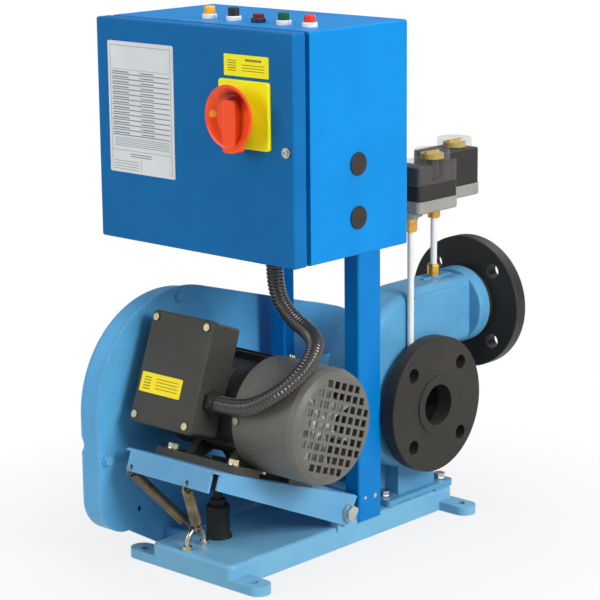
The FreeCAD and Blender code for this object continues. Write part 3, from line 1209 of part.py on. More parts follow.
def mounting_rails():
    """Two folded channels that hold the cabinet off the posts."""
    rails = []
    for z in (CAB_Z + 50, TOP_Z - 80):
        y0 = CAB_BACK_Y + SEAT_GAP
        y1 = POST_Y - SEAT_GAP
        rails.append(fuse([box(-90, 90, y0, y0 + 2, z, z + 30), box(-90, 90, y0, y1, z, z + 2),
                           box(-90, 90, y0, y1, z + 28, z + 30)]))
    return Part.makeCompound(rails)


def mounting_plate():
    """Steel chassis plate on four spacers at the cabinet back."""
    y1 = CAB_BACK_Y - CAB_SHEET - PLATE_STAND
    plate = box(-130, 130, y1 - PLATE_T, y1, CAB_Z + 20, TOP_Z - 20)
    spacers = [rod((x, y1 - 1, z), (x, CAB_BACK_Y - CAB_SHEET - SEAT_GAP, z), 5.0)
               for x in (-120, 120) for z in (CAB_Z + 30, TOP_Z - 30)]
    return fuse([plate] + spacers)


def control_gear():
    """Contactor, overload relay, relays and terminal row on their rail."""
    y1 = CAB_BACK_Y - CAB_SHEET - PLATE_STAND - PLATE_T - SEAT_GAP
    rail = box(-120, 120, y1 - 7, y1, 520, 555)
    contactor = fuse([box(-110, -65, y1 - 82, y1 - 6, 500, 575), box(-105, -70, y1 - 88, y1 - 81, 515, 560)])
    overload = box(-110, -65, y1 - 75, y1 - 2, 455, 501)
    relays = [box(x, x + 26, y1 - 62, y1 - 6, 505, 570) for x in (-50, -20, 10)]
    row = box(-50, 110, y1 - 40, y1, 410, 450)
    return fuse([rail, contactor, overload, row] + relays)


def door():
    """Pan-shaped door with knuckles of the two hidden hinges."""
    half = CAB_W / 2
    pan = round_box(-half, half, DOOR_FRONT_Y, DOOR_BACK_Y, CAB_Z, TOP_Z, CAB_EDGE_R, Y_AXIS)
    rim = [e for e in pan.Edges if abs(e.BoundBox.YMax - DOOR_FRONT_Y) < 0.01]
    pan = pan.makeFillet(2.5, rim)
    inner = box(-half + CAB_SHEET, half - CAB_SHEET, DOOR_FRONT_Y + CAB_SHEET, DOOR_BACK_Y + 1,
                CAB_Z + CAB_SHEET, TOP_Z - CAB_SHEET)
    pan = pan.cut(inner)
    for z in HINGE_HEIGHTS:
        knuckle = rod((HINGE_X, HINGE_Y, z + MOVE_GAP), (HINGE_X, HINGE_Y, z + HINGE_L / 2), HINGE_R)
        leaf = box(HINGE_X - 1.5, HINGE_X + 0.5, DOOR_BACK_Y - 12, HINGE_Y - HINGE_PIN_R,
                   z + MOVE_GAP, z + HINGE_L / 2)
        pan = pan.fuse(knuckle).fuse(leaf)
    holes = [rod((HINGE_X, HINGE_Y, z), (HINGE_X, HINGE_Y, z + HINGE_L), HINGE_PIN_R + RUN_FIT)
             for z in HINGE_HEIGHTS]
    holes.append(rod((LOCK_X, DOOR_FRONT_Y - 5, LOCK_Z), (LOCK_X, DOOR_FRONT_Y + 9, LOCK_Z), LOCK_R - 1.0))
    holes.append(rod((ISOLATOR_X, DOOR_FRONT_Y - 5, ISOLATOR_Z), (ISOLATOR_X, DOOR_FRONT_Y + 9, ISOLATOR_Z),
                     HANDLE_SHAFT_R + 1.0))
    return pan.removeSplitter().cut(Part.makeCompound(holes))


def hinge_pins():
    """Lower knuckles with their pins, on ears of the cabinet's front edge."""
    pins = []
    for z in HINGE_HEIGHTS:
        pins.append(fuse([rod((HINGE_X, HINGE_Y, z - HINGE_L / 2), (HINGE_X, HINGE_Y, z), HINGE_R),
                          rod((HINGE_X, HINGE_Y, z - 1), (HINGE_X, HINGE_Y, z + HINGE_L / 2 - 1), HINGE_PIN_R),
                          box(HINGE_X - 1.0, HINGE_X + 1.5, HINGE_Y + 1, CAB_FRONT_Y - SEAT_GAP,
                              z - HINGE_L / 2, z - 1)]))
    return Part.makeCompound(pins)


def door_gasket():
    """Foam strip inside the door, facing the cabinet lip."""
    half = CAB_W / 2
    y0 = DOOR_FRONT_Y + CAB_SHEET + SEAT_GAP
    y1 = CAB_FRONT_Y - LIP_H - MOVE_GAP
    outer = box(-half + 4, half - 4, y0, y1, CAB_Z + 4, TOP_Z - 4)
    inner = box(-half + 14, half - 14, y0 - 1, y1 + 1, CAB_Z + 14, TOP_Z - 14)
    notch = rod((LOCK_X, y0 - 1, LOCK_Z), (LOCK_X, y1 + 1, LOCK_Z), LOCK_R + 7)
    return outer.cut(inner).cut(notch)


def thin_plate(span_x, span_z, radius):
    y1 = DOOR_FRONT_Y - SEAT_GAP
    return round_box(span_x[0], span_x[1], y1 - LABEL_T, y1, span_z[0], span_z[1], radius, Y_AXIS)


def isolator_plate():
    half = ISOLATOR_PLATE / 2
    y1 = DOOR_FRONT_Y - SEAT_GAP
    plate = round_box(ISOLATOR_X - half, ISOLATOR_X + half, y1 - ISOLATOR_PLATE_T, y1,
                      ISOLATOR_Z - half, ISOLATOR_Z + half, 3.0, Y_AXIS)
    rim = [e for e in plate.Edges if abs(e.BoundBox.YMax - (y1 - ISOLATOR_PLATE_T)) < 0.01]
    plate = plate.makeFillet(1.2, rim)
    return plate.cut(rod((ISOLATOR_X, y1 - 9, ISOLATOR_Z), (ISOLATOR_X, y1 + 1, ISOLATOR_Z), 8.0))


def isolator_handle():
    """Dished rotary handle with a grip bar that runs past its rim."""
    y1 = DOOR_FRONT_Y - SEAT_GAP - ISOLATOR_PLATE_T - MOVE_GAP
    y0 = y1 - HANDLE_H
    outline = [V(0, y1, 0), V(13, y1, 0), V(15, y1 - 6, 0), (V(HANDLE_R - 1.5, y0 + 3, 0)),
               V(HANDLE_R, y0 + 1.2, 0), V(HANDLE_R - 1.0, y0, 0), V(HANDLE_R - 3.0, y0 + 0.8, 0),
               V(24, y0 + 8, 0), V(10, y0 + 11, 0), V(0, y0 + 11, 0)]
    dish = Part.Face(Part.makePolygon(outline + outline[:1])).revolve(V(0, 0, 0), Y_AXIS, 360)
    dish.translate(V(ISOLATOR_X, 0, ISOLATOR_Z))
    grip = round_box(ISOLATOR_X - 9.5, ISOLATOR_X + 9.5, y0 + 1, y1 - 8, ISOLATOR_Z - HANDLE_R - 4,
                     ISOLATOR_Z + 18, 5.0, Y_AXIS)
    shaft = rod((ISOLATOR_X, y1 - 1, ISOLATOR_Z), (ISOLATOR_X, DOOR_FRONT_Y + 14, ISOLATOR_Z), HANDLE_SHAFT_R)
    bar = grip.common(box(ISOLATOR_X - 40, ISOLATOR_X + 40, y0, y1 - 8, ISOLATOR_Z - 60, ISOLATOR_Z + 60))
    return fuse([dish, bar, shaft])


def lock_body():
    y0 = DOOR_FRONT_Y - SEAT_GAP
    front = pipe((LOCK_X, y0 - 2.2, LOCK_Z), (LOCK_X, y0, LOCK_Z), LOCK_R, LOCK_CORE_R + RUN_FIT)
    barrel = pipe((LOCK_X, y0 - 1, LOCK_Z), (LOCK_X, DOOR_FRONT_Y + 8, LOCK_Z), LOCK_R - 1.2,
                  LOCK_CORE_R + RUN_FIT)
    return fuse([front, barrel])


def lock_barrel():
    """Turning core with an insert slot and the cam behind it."""
    y0 = DOOR_FRONT_Y - 3.4
    y1 = DOOR_FRONT_Y + 11
    core = rod((LOCK_X, y0, LOCK_Z), (LOCK_X, y1, LOCK_Z), LOCK_CORE_R)
    slot = box(LOCK_X - 3, LOCK_X + 3, y0 - 1, y0 + 1.6, LOCK_Z - 0.8, LOCK_Z + 0.8)
    cam = box(LOCK_X - 4.0, LOCK_X + 4.0, y1 - 2.4, y1, LOCK_Z - 6.2, LOCK_Z + 4.5)
    return fuse([core, cam]).cut(slot)


def top_bezels():
    """Plastic collars of the lamps and buttons on the cabinet top."""
    rings = []
    for x in top_places():
        collar = pipe((x, TOP_Y, TOP_Z + SEAT_GAP), (x, TOP_Y, TOP_Z + BEZEL_H), BEZEL_R, BUTTON_R + MOVE_GAP)
        collar = collar.makeFillet(1.2, [e for e in collar.Edges if len(e.Vertexes) == 1
                                         and e.BoundBox.ZMin > TOP_Z + BEZEL_H - 0.1
                                         and e.BoundBox.XLength > 1.9 * BEZEL_R])
        stem = pipe((x, TOP_Y, TOP_Z - 22), (x, TOP_Y, TOP_Z + 2), PANEL_HOLE_R - SEAT_GAP, BUTTON_R + MOVE_GAP)
        nut = pipe((x, TOP_Y, TOP_Z - 10), (x, TOP_Y, TOP_Z - CAB_SHEET - SEAT_GAP), 13.0, PANEL_HOLE_R - 0.4)
        cap = rod((x, TOP_Y, TOP_Z - 26), (x, TOP_Y, TOP_Z - 21), 11.0)
        rings.append(fuse([collar, stem, nut, cap]))
    return Part.makeCompound(rings)


def lamp_lens(x, height):
    lens = rod((x, TOP_Y, TOP_Z - 20), (x, TOP_Y, TOP_Z + BEZEL_H + height), BUTTON_R)
    top = [e for e in lens.Edges if e.BoundBox.ZMin > TOP_Z + 1 and len(e.Vertexes) == 1]
    return lens.makeFillet(2.5, top)


def push_button(x, height):
    head = rod((x, TOP_Y, TOP_Z - 12), (x, TOP_Y, TOP_Z + BEZEL_H + height), BUTTON_R)
    top = [e for e in head.Edges if e.BoundBox.ZMin > TOP_Z + 1 and len(e.Vertexes) == 1]
    return head.makeFillet(1.0, top)


def blank_plugs():
    plugs = []
    x0 = CAB_W / 2
    for z in PLUG_Z:
        cap = rod((x0 + SEAT_GAP, PLUG_Y, z), (x0 + 2.0, PLUG_Y, z), PLUG_R)
        cap = cap.makeFillet(1.0, [e for e in cap.Edges if e.BoundBox.XMin > x0 + 1.9 and len(e.Vertexes) == 1])
        stem = pipe((x0 - 9, PLUG_Y, z), (x0 + 0.5, PLUG_Y, z), PLUG_R - 2.6, PLUG_R - 5)
        plugs.append(fuse([cap, stem]))
    return Part.makeCompound(plugs)


def switch_bases():
    """Die-cast lower housings of the pressure switches, a mounting ear at the far end."""
    bases = []
    for (x, port_y), y in zip(SWITCH_PLACES, switch_middles()):
        z0 = SWITCH_Z
        z1 = z0 + SWITCH_BASE_H - SEAT_GAP
        end = y + SWITCH_L / 2
        shell = round_box(x - SWITCH_W / 2, x + SWITCH_W / 2, y - SWITCH_L / 2, end, z0 + 5, z1, 7.0, Z_AXIS)
        low_rim = [e for e in shell.Edges if e.BoundBox.ZMax < z0 + 5.01]
        shell = shell.makeFillet(3.0, low_rim)
        cone = Part.makeCone(13.0, 18.0, 6.0, V(x, port_y, z0), Z_AXIS)
        nose = rod((x, port_y, z0 - 4), (x, port_y, z0 + 1), 9.0)
        ear = fuse([box(x - 9, x + 9, end - 4, end + 5, z1 - 13, z1),
                    rod((x - 9, end + 5, z1 - 6.5), (x + 9, end + 5, z1 - 6.5), 6.5)])
        body = fuse([shell, cone, nose, ear])
        bores = [rod((x, port_y, z0 - 5), (x, port_y, z0 + 5), TUBE_R + SEAT_GAP),
                 rod((x - 12, end + 5, z1 - 6.5), (x + 12, end + 5, z1 - 6.5), 2.6)]
        bases.append(body.cut(Part.makeCompound(bores)))
    return Part.makeCompound(bases)


def switch_middles():
    return [y + SWITCH_SETBACK for _, y in SWITCH_PLACES]


def switch_bodies():
    """Black middle housings carrying the contact blocks, with the pivots of the dials."""
    bodies = []
    for (x, _), y in zip(SWITCH_PLACES, switch_middles()):
        z0 = SWITCH_Z + SWITCH_BASE_H
        z1 = SWITCH_COVER_Z
        dial_y = y + SWITCH_DIAL_SHIFT
        block = round_box(x - SWITCH_W / 2 + 1, x + SWITCH_W / 2 - 1, y - SWITCH_L / 2 + 1,
                          y + SWITCH_L / 2 - 1, z0, z1 - SEAT_GAP, 6.0, Z_AXIS)
        spigot = rod((x, dial_y, z1 - 2), (x, dial_y, SWITCH_DIAL_Z + 0.4), 8.0)
        tower = round_box(x - SWITCH_W / 2 + 5, x + SWITCH_W / 2 - 5, y - SWITCH_L / 2 + 5, y - 6,
                          z1 - 2, SWITCH_DIAL_Z - 4, 3.0, Z_AXIS)
        bodies.append(fuse([block, spigot, tower]))
    return Part.makeCompound(bodies)


def switch_covers():
    """Clear covers over the contacts with a round window over each dial."""
    covers = []
    for (x, _), y in zip(SWITCH_PLACES, switch_middles()):
        z0 = SWITCH_COVER_Z
        z1 = SWITCH_DIAL_Z
        dial_y = y + SWITCH_DIAL_SHIFT
        shell = round_box(x - SWITCH_W / 2 + 1, x + SWITCH_W / 2 - 1, y - SWITCH_L / 2 + 1,
                          y + SWITCH_L / 2 - 1, z0, z1, 6.0, Z_AXIS)
        cap = rod((x, dial_y, z1 - 1), (x, dial_y, z1 + SWITCH_CAP_H), SWITCH_CAP_R)
        cap = cap.makeFillet(2.0, [e for e in cap.Edges if e.BoundBox.ZMin > z1 and len(e.Vertexes) == 1])
        hollow = box(x - SWITCH_W / 2 + 3, x + SWITCH_W / 2 - 3, y - SWITCH_L / 2 + 3,
                     y + SWITCH_L / 2 - 3, z0 - 1, z1 - 2)
        cap_hollow = rod((x, dial_y, z1 - 5), (x, dial_y, z1 + SWITCH_CAP_H - 2), SWITCH_CAP_R - 2)
        covers.append(fuse([shell, cap]).cut(hollow).cut(cap_hollow))
    return Part.makeCompound(covers)


def switch_dial(place):
    """Setting dial with a pointer ridge, under the clear window."""
    x, y = place
    y += SWITCH_SETBACK + SWITCH_DIAL_SHIFT
    z0 = SWITCH_DIAL_Z + 1
    dial = rod((x, y, z0), (x, y, z0 + SWITCH_DIAL_H), SWITCH_DIAL_R)
    ridge = box(x - 1.5, x + 1.5, y - SWITCH_DIAL_R + 2, y + SWITCH_DIAL_R - 2,
                z0 + SWITCH_DIAL_H - 1, z0 + SWITCH_DIAL_H + 3)
    return fuse([dial, ridge])


def sensing_tubes():
    """Rigid tubes from the casing up to the switches."""
    tubes = []
    for (x, y), z in zip(SWITCH_PLACES, TUBE_SEATS):
        tubes.append(pipe((x, y, z - 10), (x, y, SWITCH_Z + 3), TUBE_R, TUBE_R - 1))
    return Part.makeCompound(tubes)


def tube_fittings():
    """Brass compression nuts on the sensing tubes; the lower inlet one is slim, behind the flange."""
    nuts = []
    for (x, y), z, slim in zip(SWITCH_PLACES, TUBE_SEATS, (True, False)):
        bore = rod((x, y, z - 1), (x, y, SWITCH_Z), TUBE_R + SEAT_GAP)
        if slim:
            low = rod((x, y, z + SEAT_GAP), (x, y, z + 7), TUBE_R + 0.8)
        else:
            low = fuse([hexagon((x, y, z + SEAT_GAP), (x, y, z + FITTING_H), 2 * FITTING_R),
                        rod((x, y, z + 1.5), (x, y, z + FITTING_H - 1.5), FITTING_R * 1.12)])
        top = SWITCH_Z - 4 - SEAT_GAP
        high = fuse([hexagon((x, y, top - FITTING_H), (x, y, top), 2 * FITTING_R),
                     rod((x, y, top - FITTING_H + 1.5), (x, y, top - 1.5), FITTING_R * 1.12)])
        nuts += [low.cut(bore), high.cut(bore)]
    return Part.makeCompound(nuts)


def build_nodes():
    tops = top_places()
    lenses = [lamp_lens(tops[0], 9.0), lamp_lens(tops[4], 8.0)]
    return {
        "base_plate": base_plate(),
        "cabinet_posts": gather([Part.makeCompound([post(1), post(-1)]), mounting_rails()]),
        "frame_bolts": gather([post_bolts(), blower_bolts(), housing_bolts(), guard_screws()]),
        "pivot_bolts": pivot_bolts(),
        "guard_cover": guard_cover(),
        "guard_backplate": guard_backplate(),
        "guard_brackets": guard_brackets(),
        "blower_volute": blower_volute(),
        "inlet_flange": inlet_flange(),
        "outlet_flange": outlet_flange(),
        "bearing_housing": bearing_housing(),
        "blower_bearings": gather([blower_bearings(), Part.makeCompound([shaft_seal()])]),
        "blower_shaft": blower_shaft(),
        "impeller": impeller(),
        "blower_pulley": blower_pulley(),
        "drive_belt": drive_belt(),
        "motor_platform": motor_platform(),
        "motor_frame": motor_frame(),
        "stator_core": stator_core(),
        "end_shields": end_shields(),
        "motor_bearings": motor_bearings(),
        "fan_cowl": fan_cowl(),
        "motor_screws": gather([cowl_screws(), foot_bolts(), lid_screws()]),
        "terminal_box": terminal_box(),
        "terminal_lid": terminal_lid(),
        "motor_gland": motor_gland(),
        "rotor_shaft": rotor_shaft(),
        "motor_fan": motor_fan(),
        "motor_pulley": motor_pulley(),
        "conduit": conduit(),
        "cabinet_gland": cabinet_gland(),
        "u_bolt": u_bolt(),
        "spring_right": tension_spring(0),
        "spring_left": tension_spring(1),
        "rubber_buffer": rubber_buffer(),
        "buffer_stop": buffer_stop(),
        "cabinet_body": cabinet_body(),
        "mounting_plate": mounting_plate(),
        "control_gear": control_gear(),
        "blank_plugs": blank_plugs(),
        "top_bezels": top_bezels(),
        "lamp_lenses": Part.makeCompound(lenses),
        "reset_button": push_button(tops[1], 9.0),
        "stop_button": push_button(tops[2], BUTTON_TRAVEL + 0.5),
        "start_button": push_button(tops[3], 8.0),
        "door": door(),
        "door_gasket": door_gasket(),
        "door_plates": Part.makeCompound([thin_plate(RATING_X, RATING_Z, 2.0), thin_plate(LABEL_X, LABEL_Z, 1.0)]),
        "isolator_plate": isolator_plate(),
        "isolator_handle": isolator_handle(),
        "lock_body": lock_body(),
        "lock_barrel": lock_barrel(),
        "hinge_pins": hinge_pins(),
        "switch_bases": switch_bases(),
        "switch_bodies": switch_bodies(),
        "switch_covers": switch_covers(),
        "inlet_dial": switch_dial(SWITCH_PLACES[0]),
        "outlet_dial": switch_dial(SWITCH_PLACES[1]),
        "sensing_tubes": sensing_tubes(),
        "tube_fittings": tube_fittings(),
    }


os.makedirs("parts", exist_ok=True)
nodes = build_nodes()
for name, shape in nodes.items():
    shape.exportStep("parts/%s.step" % name)
    print(name, len(shape.Solids), shape.isValid(), round(shape.Volume / 1000, 1))
print("nodes", len(nodes))
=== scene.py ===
"""Looks of the gas booster: finishes for every frame node, and the pieces that the frame leaves plain."""

import json
import logging
import math
from dataclasses import dataclass
from enum import Enum

import bmesh
import bpy
from mathutils import Matrix, Vector

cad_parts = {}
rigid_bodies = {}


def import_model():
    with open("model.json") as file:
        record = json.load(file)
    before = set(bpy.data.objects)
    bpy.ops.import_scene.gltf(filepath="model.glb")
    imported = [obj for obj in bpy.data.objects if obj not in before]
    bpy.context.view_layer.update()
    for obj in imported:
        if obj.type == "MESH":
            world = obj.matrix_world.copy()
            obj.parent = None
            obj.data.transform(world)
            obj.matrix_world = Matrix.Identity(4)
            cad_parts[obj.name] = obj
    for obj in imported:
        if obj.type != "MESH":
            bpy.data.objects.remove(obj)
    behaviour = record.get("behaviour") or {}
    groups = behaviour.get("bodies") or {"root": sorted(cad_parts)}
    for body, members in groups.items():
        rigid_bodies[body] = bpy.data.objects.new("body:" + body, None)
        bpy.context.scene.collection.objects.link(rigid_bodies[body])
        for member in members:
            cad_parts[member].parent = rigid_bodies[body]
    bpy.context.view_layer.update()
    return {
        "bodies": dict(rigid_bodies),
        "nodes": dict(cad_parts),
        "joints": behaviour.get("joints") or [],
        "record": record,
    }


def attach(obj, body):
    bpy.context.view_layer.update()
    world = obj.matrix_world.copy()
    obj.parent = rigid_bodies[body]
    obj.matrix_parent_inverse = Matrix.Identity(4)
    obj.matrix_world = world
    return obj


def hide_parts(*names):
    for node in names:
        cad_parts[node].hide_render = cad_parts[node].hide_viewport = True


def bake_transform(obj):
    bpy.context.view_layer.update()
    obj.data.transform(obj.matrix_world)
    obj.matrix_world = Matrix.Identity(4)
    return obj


LOG = logging.getLogger("gas_booster")
FULL_TURN = math.tau

Colour = tuple[float, float, float, float]
Point = tuple[float, float, float]
Socket = bpy.types.NodeSocket
Group = bpy.types.NodeTree
Mesh = bmesh.types.BMesh
Piece = bpy.types.Object

WHITE: Colour = (1.0, 1.0, 1.0, 1.0)
BLACK: Colour = (0.0, 0.0, 0.0, 1.0)


class Axis(Enum):
    """The three axes of the frame."""

    X = 0
    Y = 1
    Z = 2

    def unit(self) -> Vector:
        """Give the axis as a vector of length 1."""
        return Vector([float(number == self.value) for number in range(3)])

    def quarter_turn(self) -> Matrix:
        """Give a quarter turn about the axis."""
        return Matrix.Rotation(FULL_TURN / 4, 4, self.name)


def tint(red: int, green: int, blue: int) -> Colour:
    """Turn a colour in screen values of 0 to 255 into a linear one.

    Args:
        red: Red as seen on screen.
        green: Green as seen on screen.
        blue: Blue as seen on screen.

    Returns:
        The linear colour with full alpha.
    """
    def linear(value: float) -> float:
        """Undo the screen curve for one channel."""
        return value / 12.92 if value <= 0.04045 else ((value + 0.055) / 1.055) ** 2.4

    return (linear(red / 255), linear(green / 255), linear(blue / 255), 1.0)


class Wiring:
    """Adds and joins nodes in one shader tree."""

    def __init__(self, tree: Group) -> None:
        """Keep the tree and clear it."""
        self.tree = tree
        tree.nodes.clear()

    def add(self, kind: str, settings: dict | None = None, **inputs: object) -> bpy.types.Node:
        """Add a node, set its properties and fill or join its inputs.

        Args:
            kind: Blender's name of the node type.
            settings: Properties of the node itself.
            **inputs: Values or output sockets by input name, with _ for a blank.

        Returns:
            The new node.
        """
        node = self.tree.nodes.new(kind)
        for name, value in (settings or {}).items():
            setattr(node, name, value)
        for name, value in inputs.items():
            self.feed(node.inputs[name.replace("_", " ")], value)
        return node

    def group(self, tree: Group, **inputs: object) -> bpy.types.Node:
        """Place a shared group, with its inputs by name."""
        return self.add("ShaderNodeGroup", {"node_tree": tree}, **inputs)

    def feed(self, socket: Socket, value: object) -> None:
        """Join an output to a socket, or set the socket's own value.

        Args:
            socket: The input to fill.
            value: An output socket to join, or a plain value.
        """
        if isinstance(value, Socket):
            self.tree.links.new(value, socket)
        else:
            socket.default_value = value

    def calc(self, operation: str, first: object, second: object = 0.0) -> Socket:
        """Work out one step on numbers.

        Args:
            operation: Blender's name of the operation.
            first: First value or socket.
            second: Second value or socket.

        Returns:
            The result's socket.
        """
        node = self.tree.nodes.new("ShaderNodeMath")
        node.operation = operation
        self.feed(node.inputs[0], first)
        self.feed(node.inputs[1], second)
        return node.outputs[0]

    def vector(self, operation: str, first: Socket, second: Socket | None = None) -> bpy.types.Node:
        """Work out one step on vectors.

        Args:
            operation: Blender's name of the operation.
            first: First vector.
            second: Second vector, if the operation has one.

        Returns:
            The node, with the result in its Vector or Value output.
        """
        node = self.add("ShaderNodeVectorMath", {"operation": operation})
        self.feed(node.inputs[0], first)
        if second is not None:
            self.feed(node.inputs[1], second)
        return node

    def mix(self, amount: object, first: object, second: object) -> Socket:
        """Blend two colours.

        Args:
            amount: Share of the second colour.
            first: Colour or socket at 0.
            second: Colour or socket at 1.

        Returns:
            The blended colour's socket.
        """
        node = self.tree.nodes.new("ShaderNodeMix")
        node.data_type = "RGBA"
        self.feed(node.inputs[0], amount)
        self.feed(node.inputs[6], first)
        self.feed(node.inputs[7], second)
        return node.outputs[2]

    def layer(self, amount: Socket, first: Socket, second: Socket) -> Socket:
        """Blend two shaders.

        Args:
            amount: Share of the second shader.
            first: Shader at 0.
            second: Shader at 1.

        Returns:
            The blended shader's socket.
        """
        node = self.tree.nodes.new("ShaderNodeMixShader")
        for socket, value in zip(node.inputs, (amount, first, second)):
            self.feed(socket, value)
        return node.outputs["Shader"]

    def span(self, value: object, low: float, high: float, start: float, end: float) -> Socket:
        """Map a range of values on another, held at its ends.

        Args:
            value: Value or socket to map.
            low: Lower end of the incoming range.
            high: Upper end of the incoming range.
            start: Result at the lower end.
            end: Result at the upper end.

        Returns:
            The mapped value's socket.
        """
        node = self.tree.nodes.new("ShaderNodeMapRange")
        self.feed(node.inputs["Value"], value)
        for name, number in zip(("From Min", "From Max", "To Min", "To Max"), (low, high, start, end)):
            node.inputs[name].default_value = number
        return node.outputs["Result"]


class Effects:
    """Shader groups that several finishes share."""

    def __init__(self) -> None:
        """Build each group once."""
        self.drift = self._drift()
        self.grain = self._grain()
        self.wear_and_highlight = self._edge_wear_and_highlight()
        self.dust = self._dust()
        self.rows = self._rows()
        self.zone = self._zone()

    @staticmethod
    def _open(name: str, inputs: dict[str, object], outputs: tuple[str, ...]) -> tuple:
        """Start a group with its sockets.

        Args:
            name: Name of the group.
            inputs: First value by input name: none for a vector, four numbers for a colour, or a number.
            outputs: Names of the outputs; Color is a colour and any other is a number.

        Returns:
            The group's wiring, the sockets that it reads and the sockets that it fills.
        """
        tree = bpy.data.node_groups.new(name, "ShaderNodeTree")
        kinds = {type(None): "NodeSocketVector", tuple: "NodeSocketColor", float: "NodeSocketFloat"}
        for label, value in inputs.items():
            socket = tree.interface.new_socket(name=label, in_out="INPUT", socket_type=kinds[type(value)])
            if value is not None:
                socket.default_value = value
        for label in outputs:
            kind = "NodeSocketColor" if label == "Color" else "NodeSocketFloat"
            tree.interface.new_socket(name=label, in_out="OUTPUT", socket_type=kind)
        wiring = Wiring(tree)
        return wiring, wiring.add("NodeGroupInput").outputs, wiring.add("NodeGroupOutput").inputs

    def _drift(self) -> Group:
        """Make the slow change of colour and of gloss over a surface.

        Returns:
            The group.
        """
        wiring, given, out = self._open(
            "colour_drift",
            {"Vector": None, "Color": WHITE, "Shade": BLACK, "Scale": 20.0, "Roughness": 0.5, "Spread": 0.1},
            ("Color", "Roughness"))
        noise = wiring.add("ShaderNodeTexNoise", Vector=given["Vector"], Scale=given["Scale"], Detail=5.0,
                           Roughness=0.6)
        share = wiring.span(noise.outputs["Fac"], 0.35, 0.7, 0.0, 1.0)
        wiring.feed(out["Color"], wiring.mix(share, given["Color"], given["Shade"]))
        swing = wiring.calc("MULTIPLY", wiring.calc("SUBTRACT", noise.outputs["Fac"], 0.5), given["Spread"])
        wiring.feed(out["Roughness"], wiring.calc("ADD", given["Roughness"], swing))
        return wiring.tree

    def _grain(self) -> Group:
        """Make the fine texture of a cast, sprayed or moulded skin, as a height in metres.

        Returns:
            The group.
        """
        wiring, given, out = self._open(
            "skin_grain", {"Vector": None, "Fine Scale": 900.0, "Coarse Scale": 200.0, "Depth": 0.0001},
            ("Height",))
        fine = wiring.add("ShaderNodeTexNoise", Vector=given["Vector"], Scale=given["Fine Scale"], Detail=3.0)
        coarse = wiring.add("ShaderNodeTexNoise", Vector=given["Vector"], Scale=given["Coarse Scale"],
                            Detail=2.0)
        both = wiring.calc("ADD", fine.outputs["Fac"], coarse.outputs["Fac"])
        wiring.feed(out["Height"], wiring.calc("MULTIPLY", both, given["Depth"]))
        return wiring.tree

    def _edge_wear_and_highlight(self) -> Group:
        """Make the lighter paint along sharp edges: rubbed paint, and a painted highlight where the edges
        catch the light.

        Returns:
            The group.
        """
        wiring, given, out = self._open(
            "edge_wear", {"Vector": None, "Color": WHITE, "Worn": WHITE, "Amount": 0.5}, ("Color", "Mask"))
        rounded = wiring.add("ShaderNodeBevel", {"samples": 4}, Radius=0.0012)
        sharp = wiring.add("ShaderNodeNewGeometry")
        likeness = wiring.vector("DOT_PRODUCT", rounded.outputs["Normal"], sharp.outputs["Normal"])
        edge = wiring.span(likeness.outputs["Value"], 0.98, 0.78, 0.0, 1.0)
        breaks = wiring.add("ShaderNodeTexNoise", Vector=given["Vector"], Scale=70.0, Detail=4.0)
        uneven = wiring.span(breaks.outputs["Fac"], 0.38, 0.62, 0.35, 1.0)
        mask = wiring.calc("MULTIPLY", wiring.calc("MULTIPLY", edge, uneven), given["Amount"])
        # Lighten the edges: rubbed paint, and a painted highlight along them.
        wiring.feed(out["Color"], wiring.mix(mask, given["Color"], given["Worn"]))
        wiring.feed(out["Mask"], mask)
        return wiring.tree

    def _dust(self) -> Group:
        """Make a little pale dust on faces that look up.

        Returns:
            The group.
        """
        wiring, given, out = self._open(
            "settled_dust", {"Vector": None, "Color": WHITE, "Roughness": 0.5, "Amount": 0.1},
            ("Color", "Roughness"))
        normal = wiring.add("ShaderNodeNewGeometry")
        split = wiring.add("ShaderNodeSeparateXYZ", Vector=normal.outputs["Normal"])
        facing = wiring.span(split.outputs["Z"], 0.5, 1.0, 0.0, 1.0)
        patches = wiring.add("ShaderNodeTexNoise", Vector=given["Vector"], Scale=35.0, Detail=6.0)
        spread = wiring.span(patches.outputs["Fac"], 0.4, 0.75, 0.2, 1.0)
        mask = wiring.calc("MULTIPLY", wiring.calc("MULTIPLY", facing, spread), given["Amount"])
        wiring.feed(out["Color"], wiring.mix(mask, given["Color"], tint(205, 205, 198)))
        duller = wiring.calc("MULTIPLY", mask, 0.5)
        wiring.feed(out["Roughness"], wiring.calc("ADD", given["Roughness"], duller))
        return wiring.tree

    def _rows(self) -> Group:
        """Make the mask of level printed bars inside a rectangle of the XZ plane.

        Returns:
            The group.
        """
        numbers = ("Left", "Right", "Bottom", "Top", "Pitch", "Fill")
        wiring, given, out = self._open(
            "printed_bars", {"Vector": None, **{name: 0.01 for name in numbers}}, ("Mask",))
        place = wiring.add("ShaderNodeSeparateXYZ", Vector=given["Vector"]).outputs
        inside = wiring.calc("GREATER_THAN", place["X"], given["Left"])
        for test, side, limit in (("LESS_THAN", "X", "Right"), ("GREATER_THAN", "Z", "Bottom"),
                                  ("LESS_THAN", "Z", "Top")):
            inside = wiring.calc("MULTIPLY", inside, wiring.calc(test, place[side], given[limit]))
        rise = wiring.calc("DIVIDE", wiring.calc("SUBTRACT", place["Z"], given["Bottom"]), given["Pitch"])
        inked = wiring.calc("LESS_THAN", wiring.calc("FRACT", rise), given["Fill"])
        wiring.feed(out["Mask"], wiring.calc("MULTIPLY", inside, inked))
        return wiring.tree

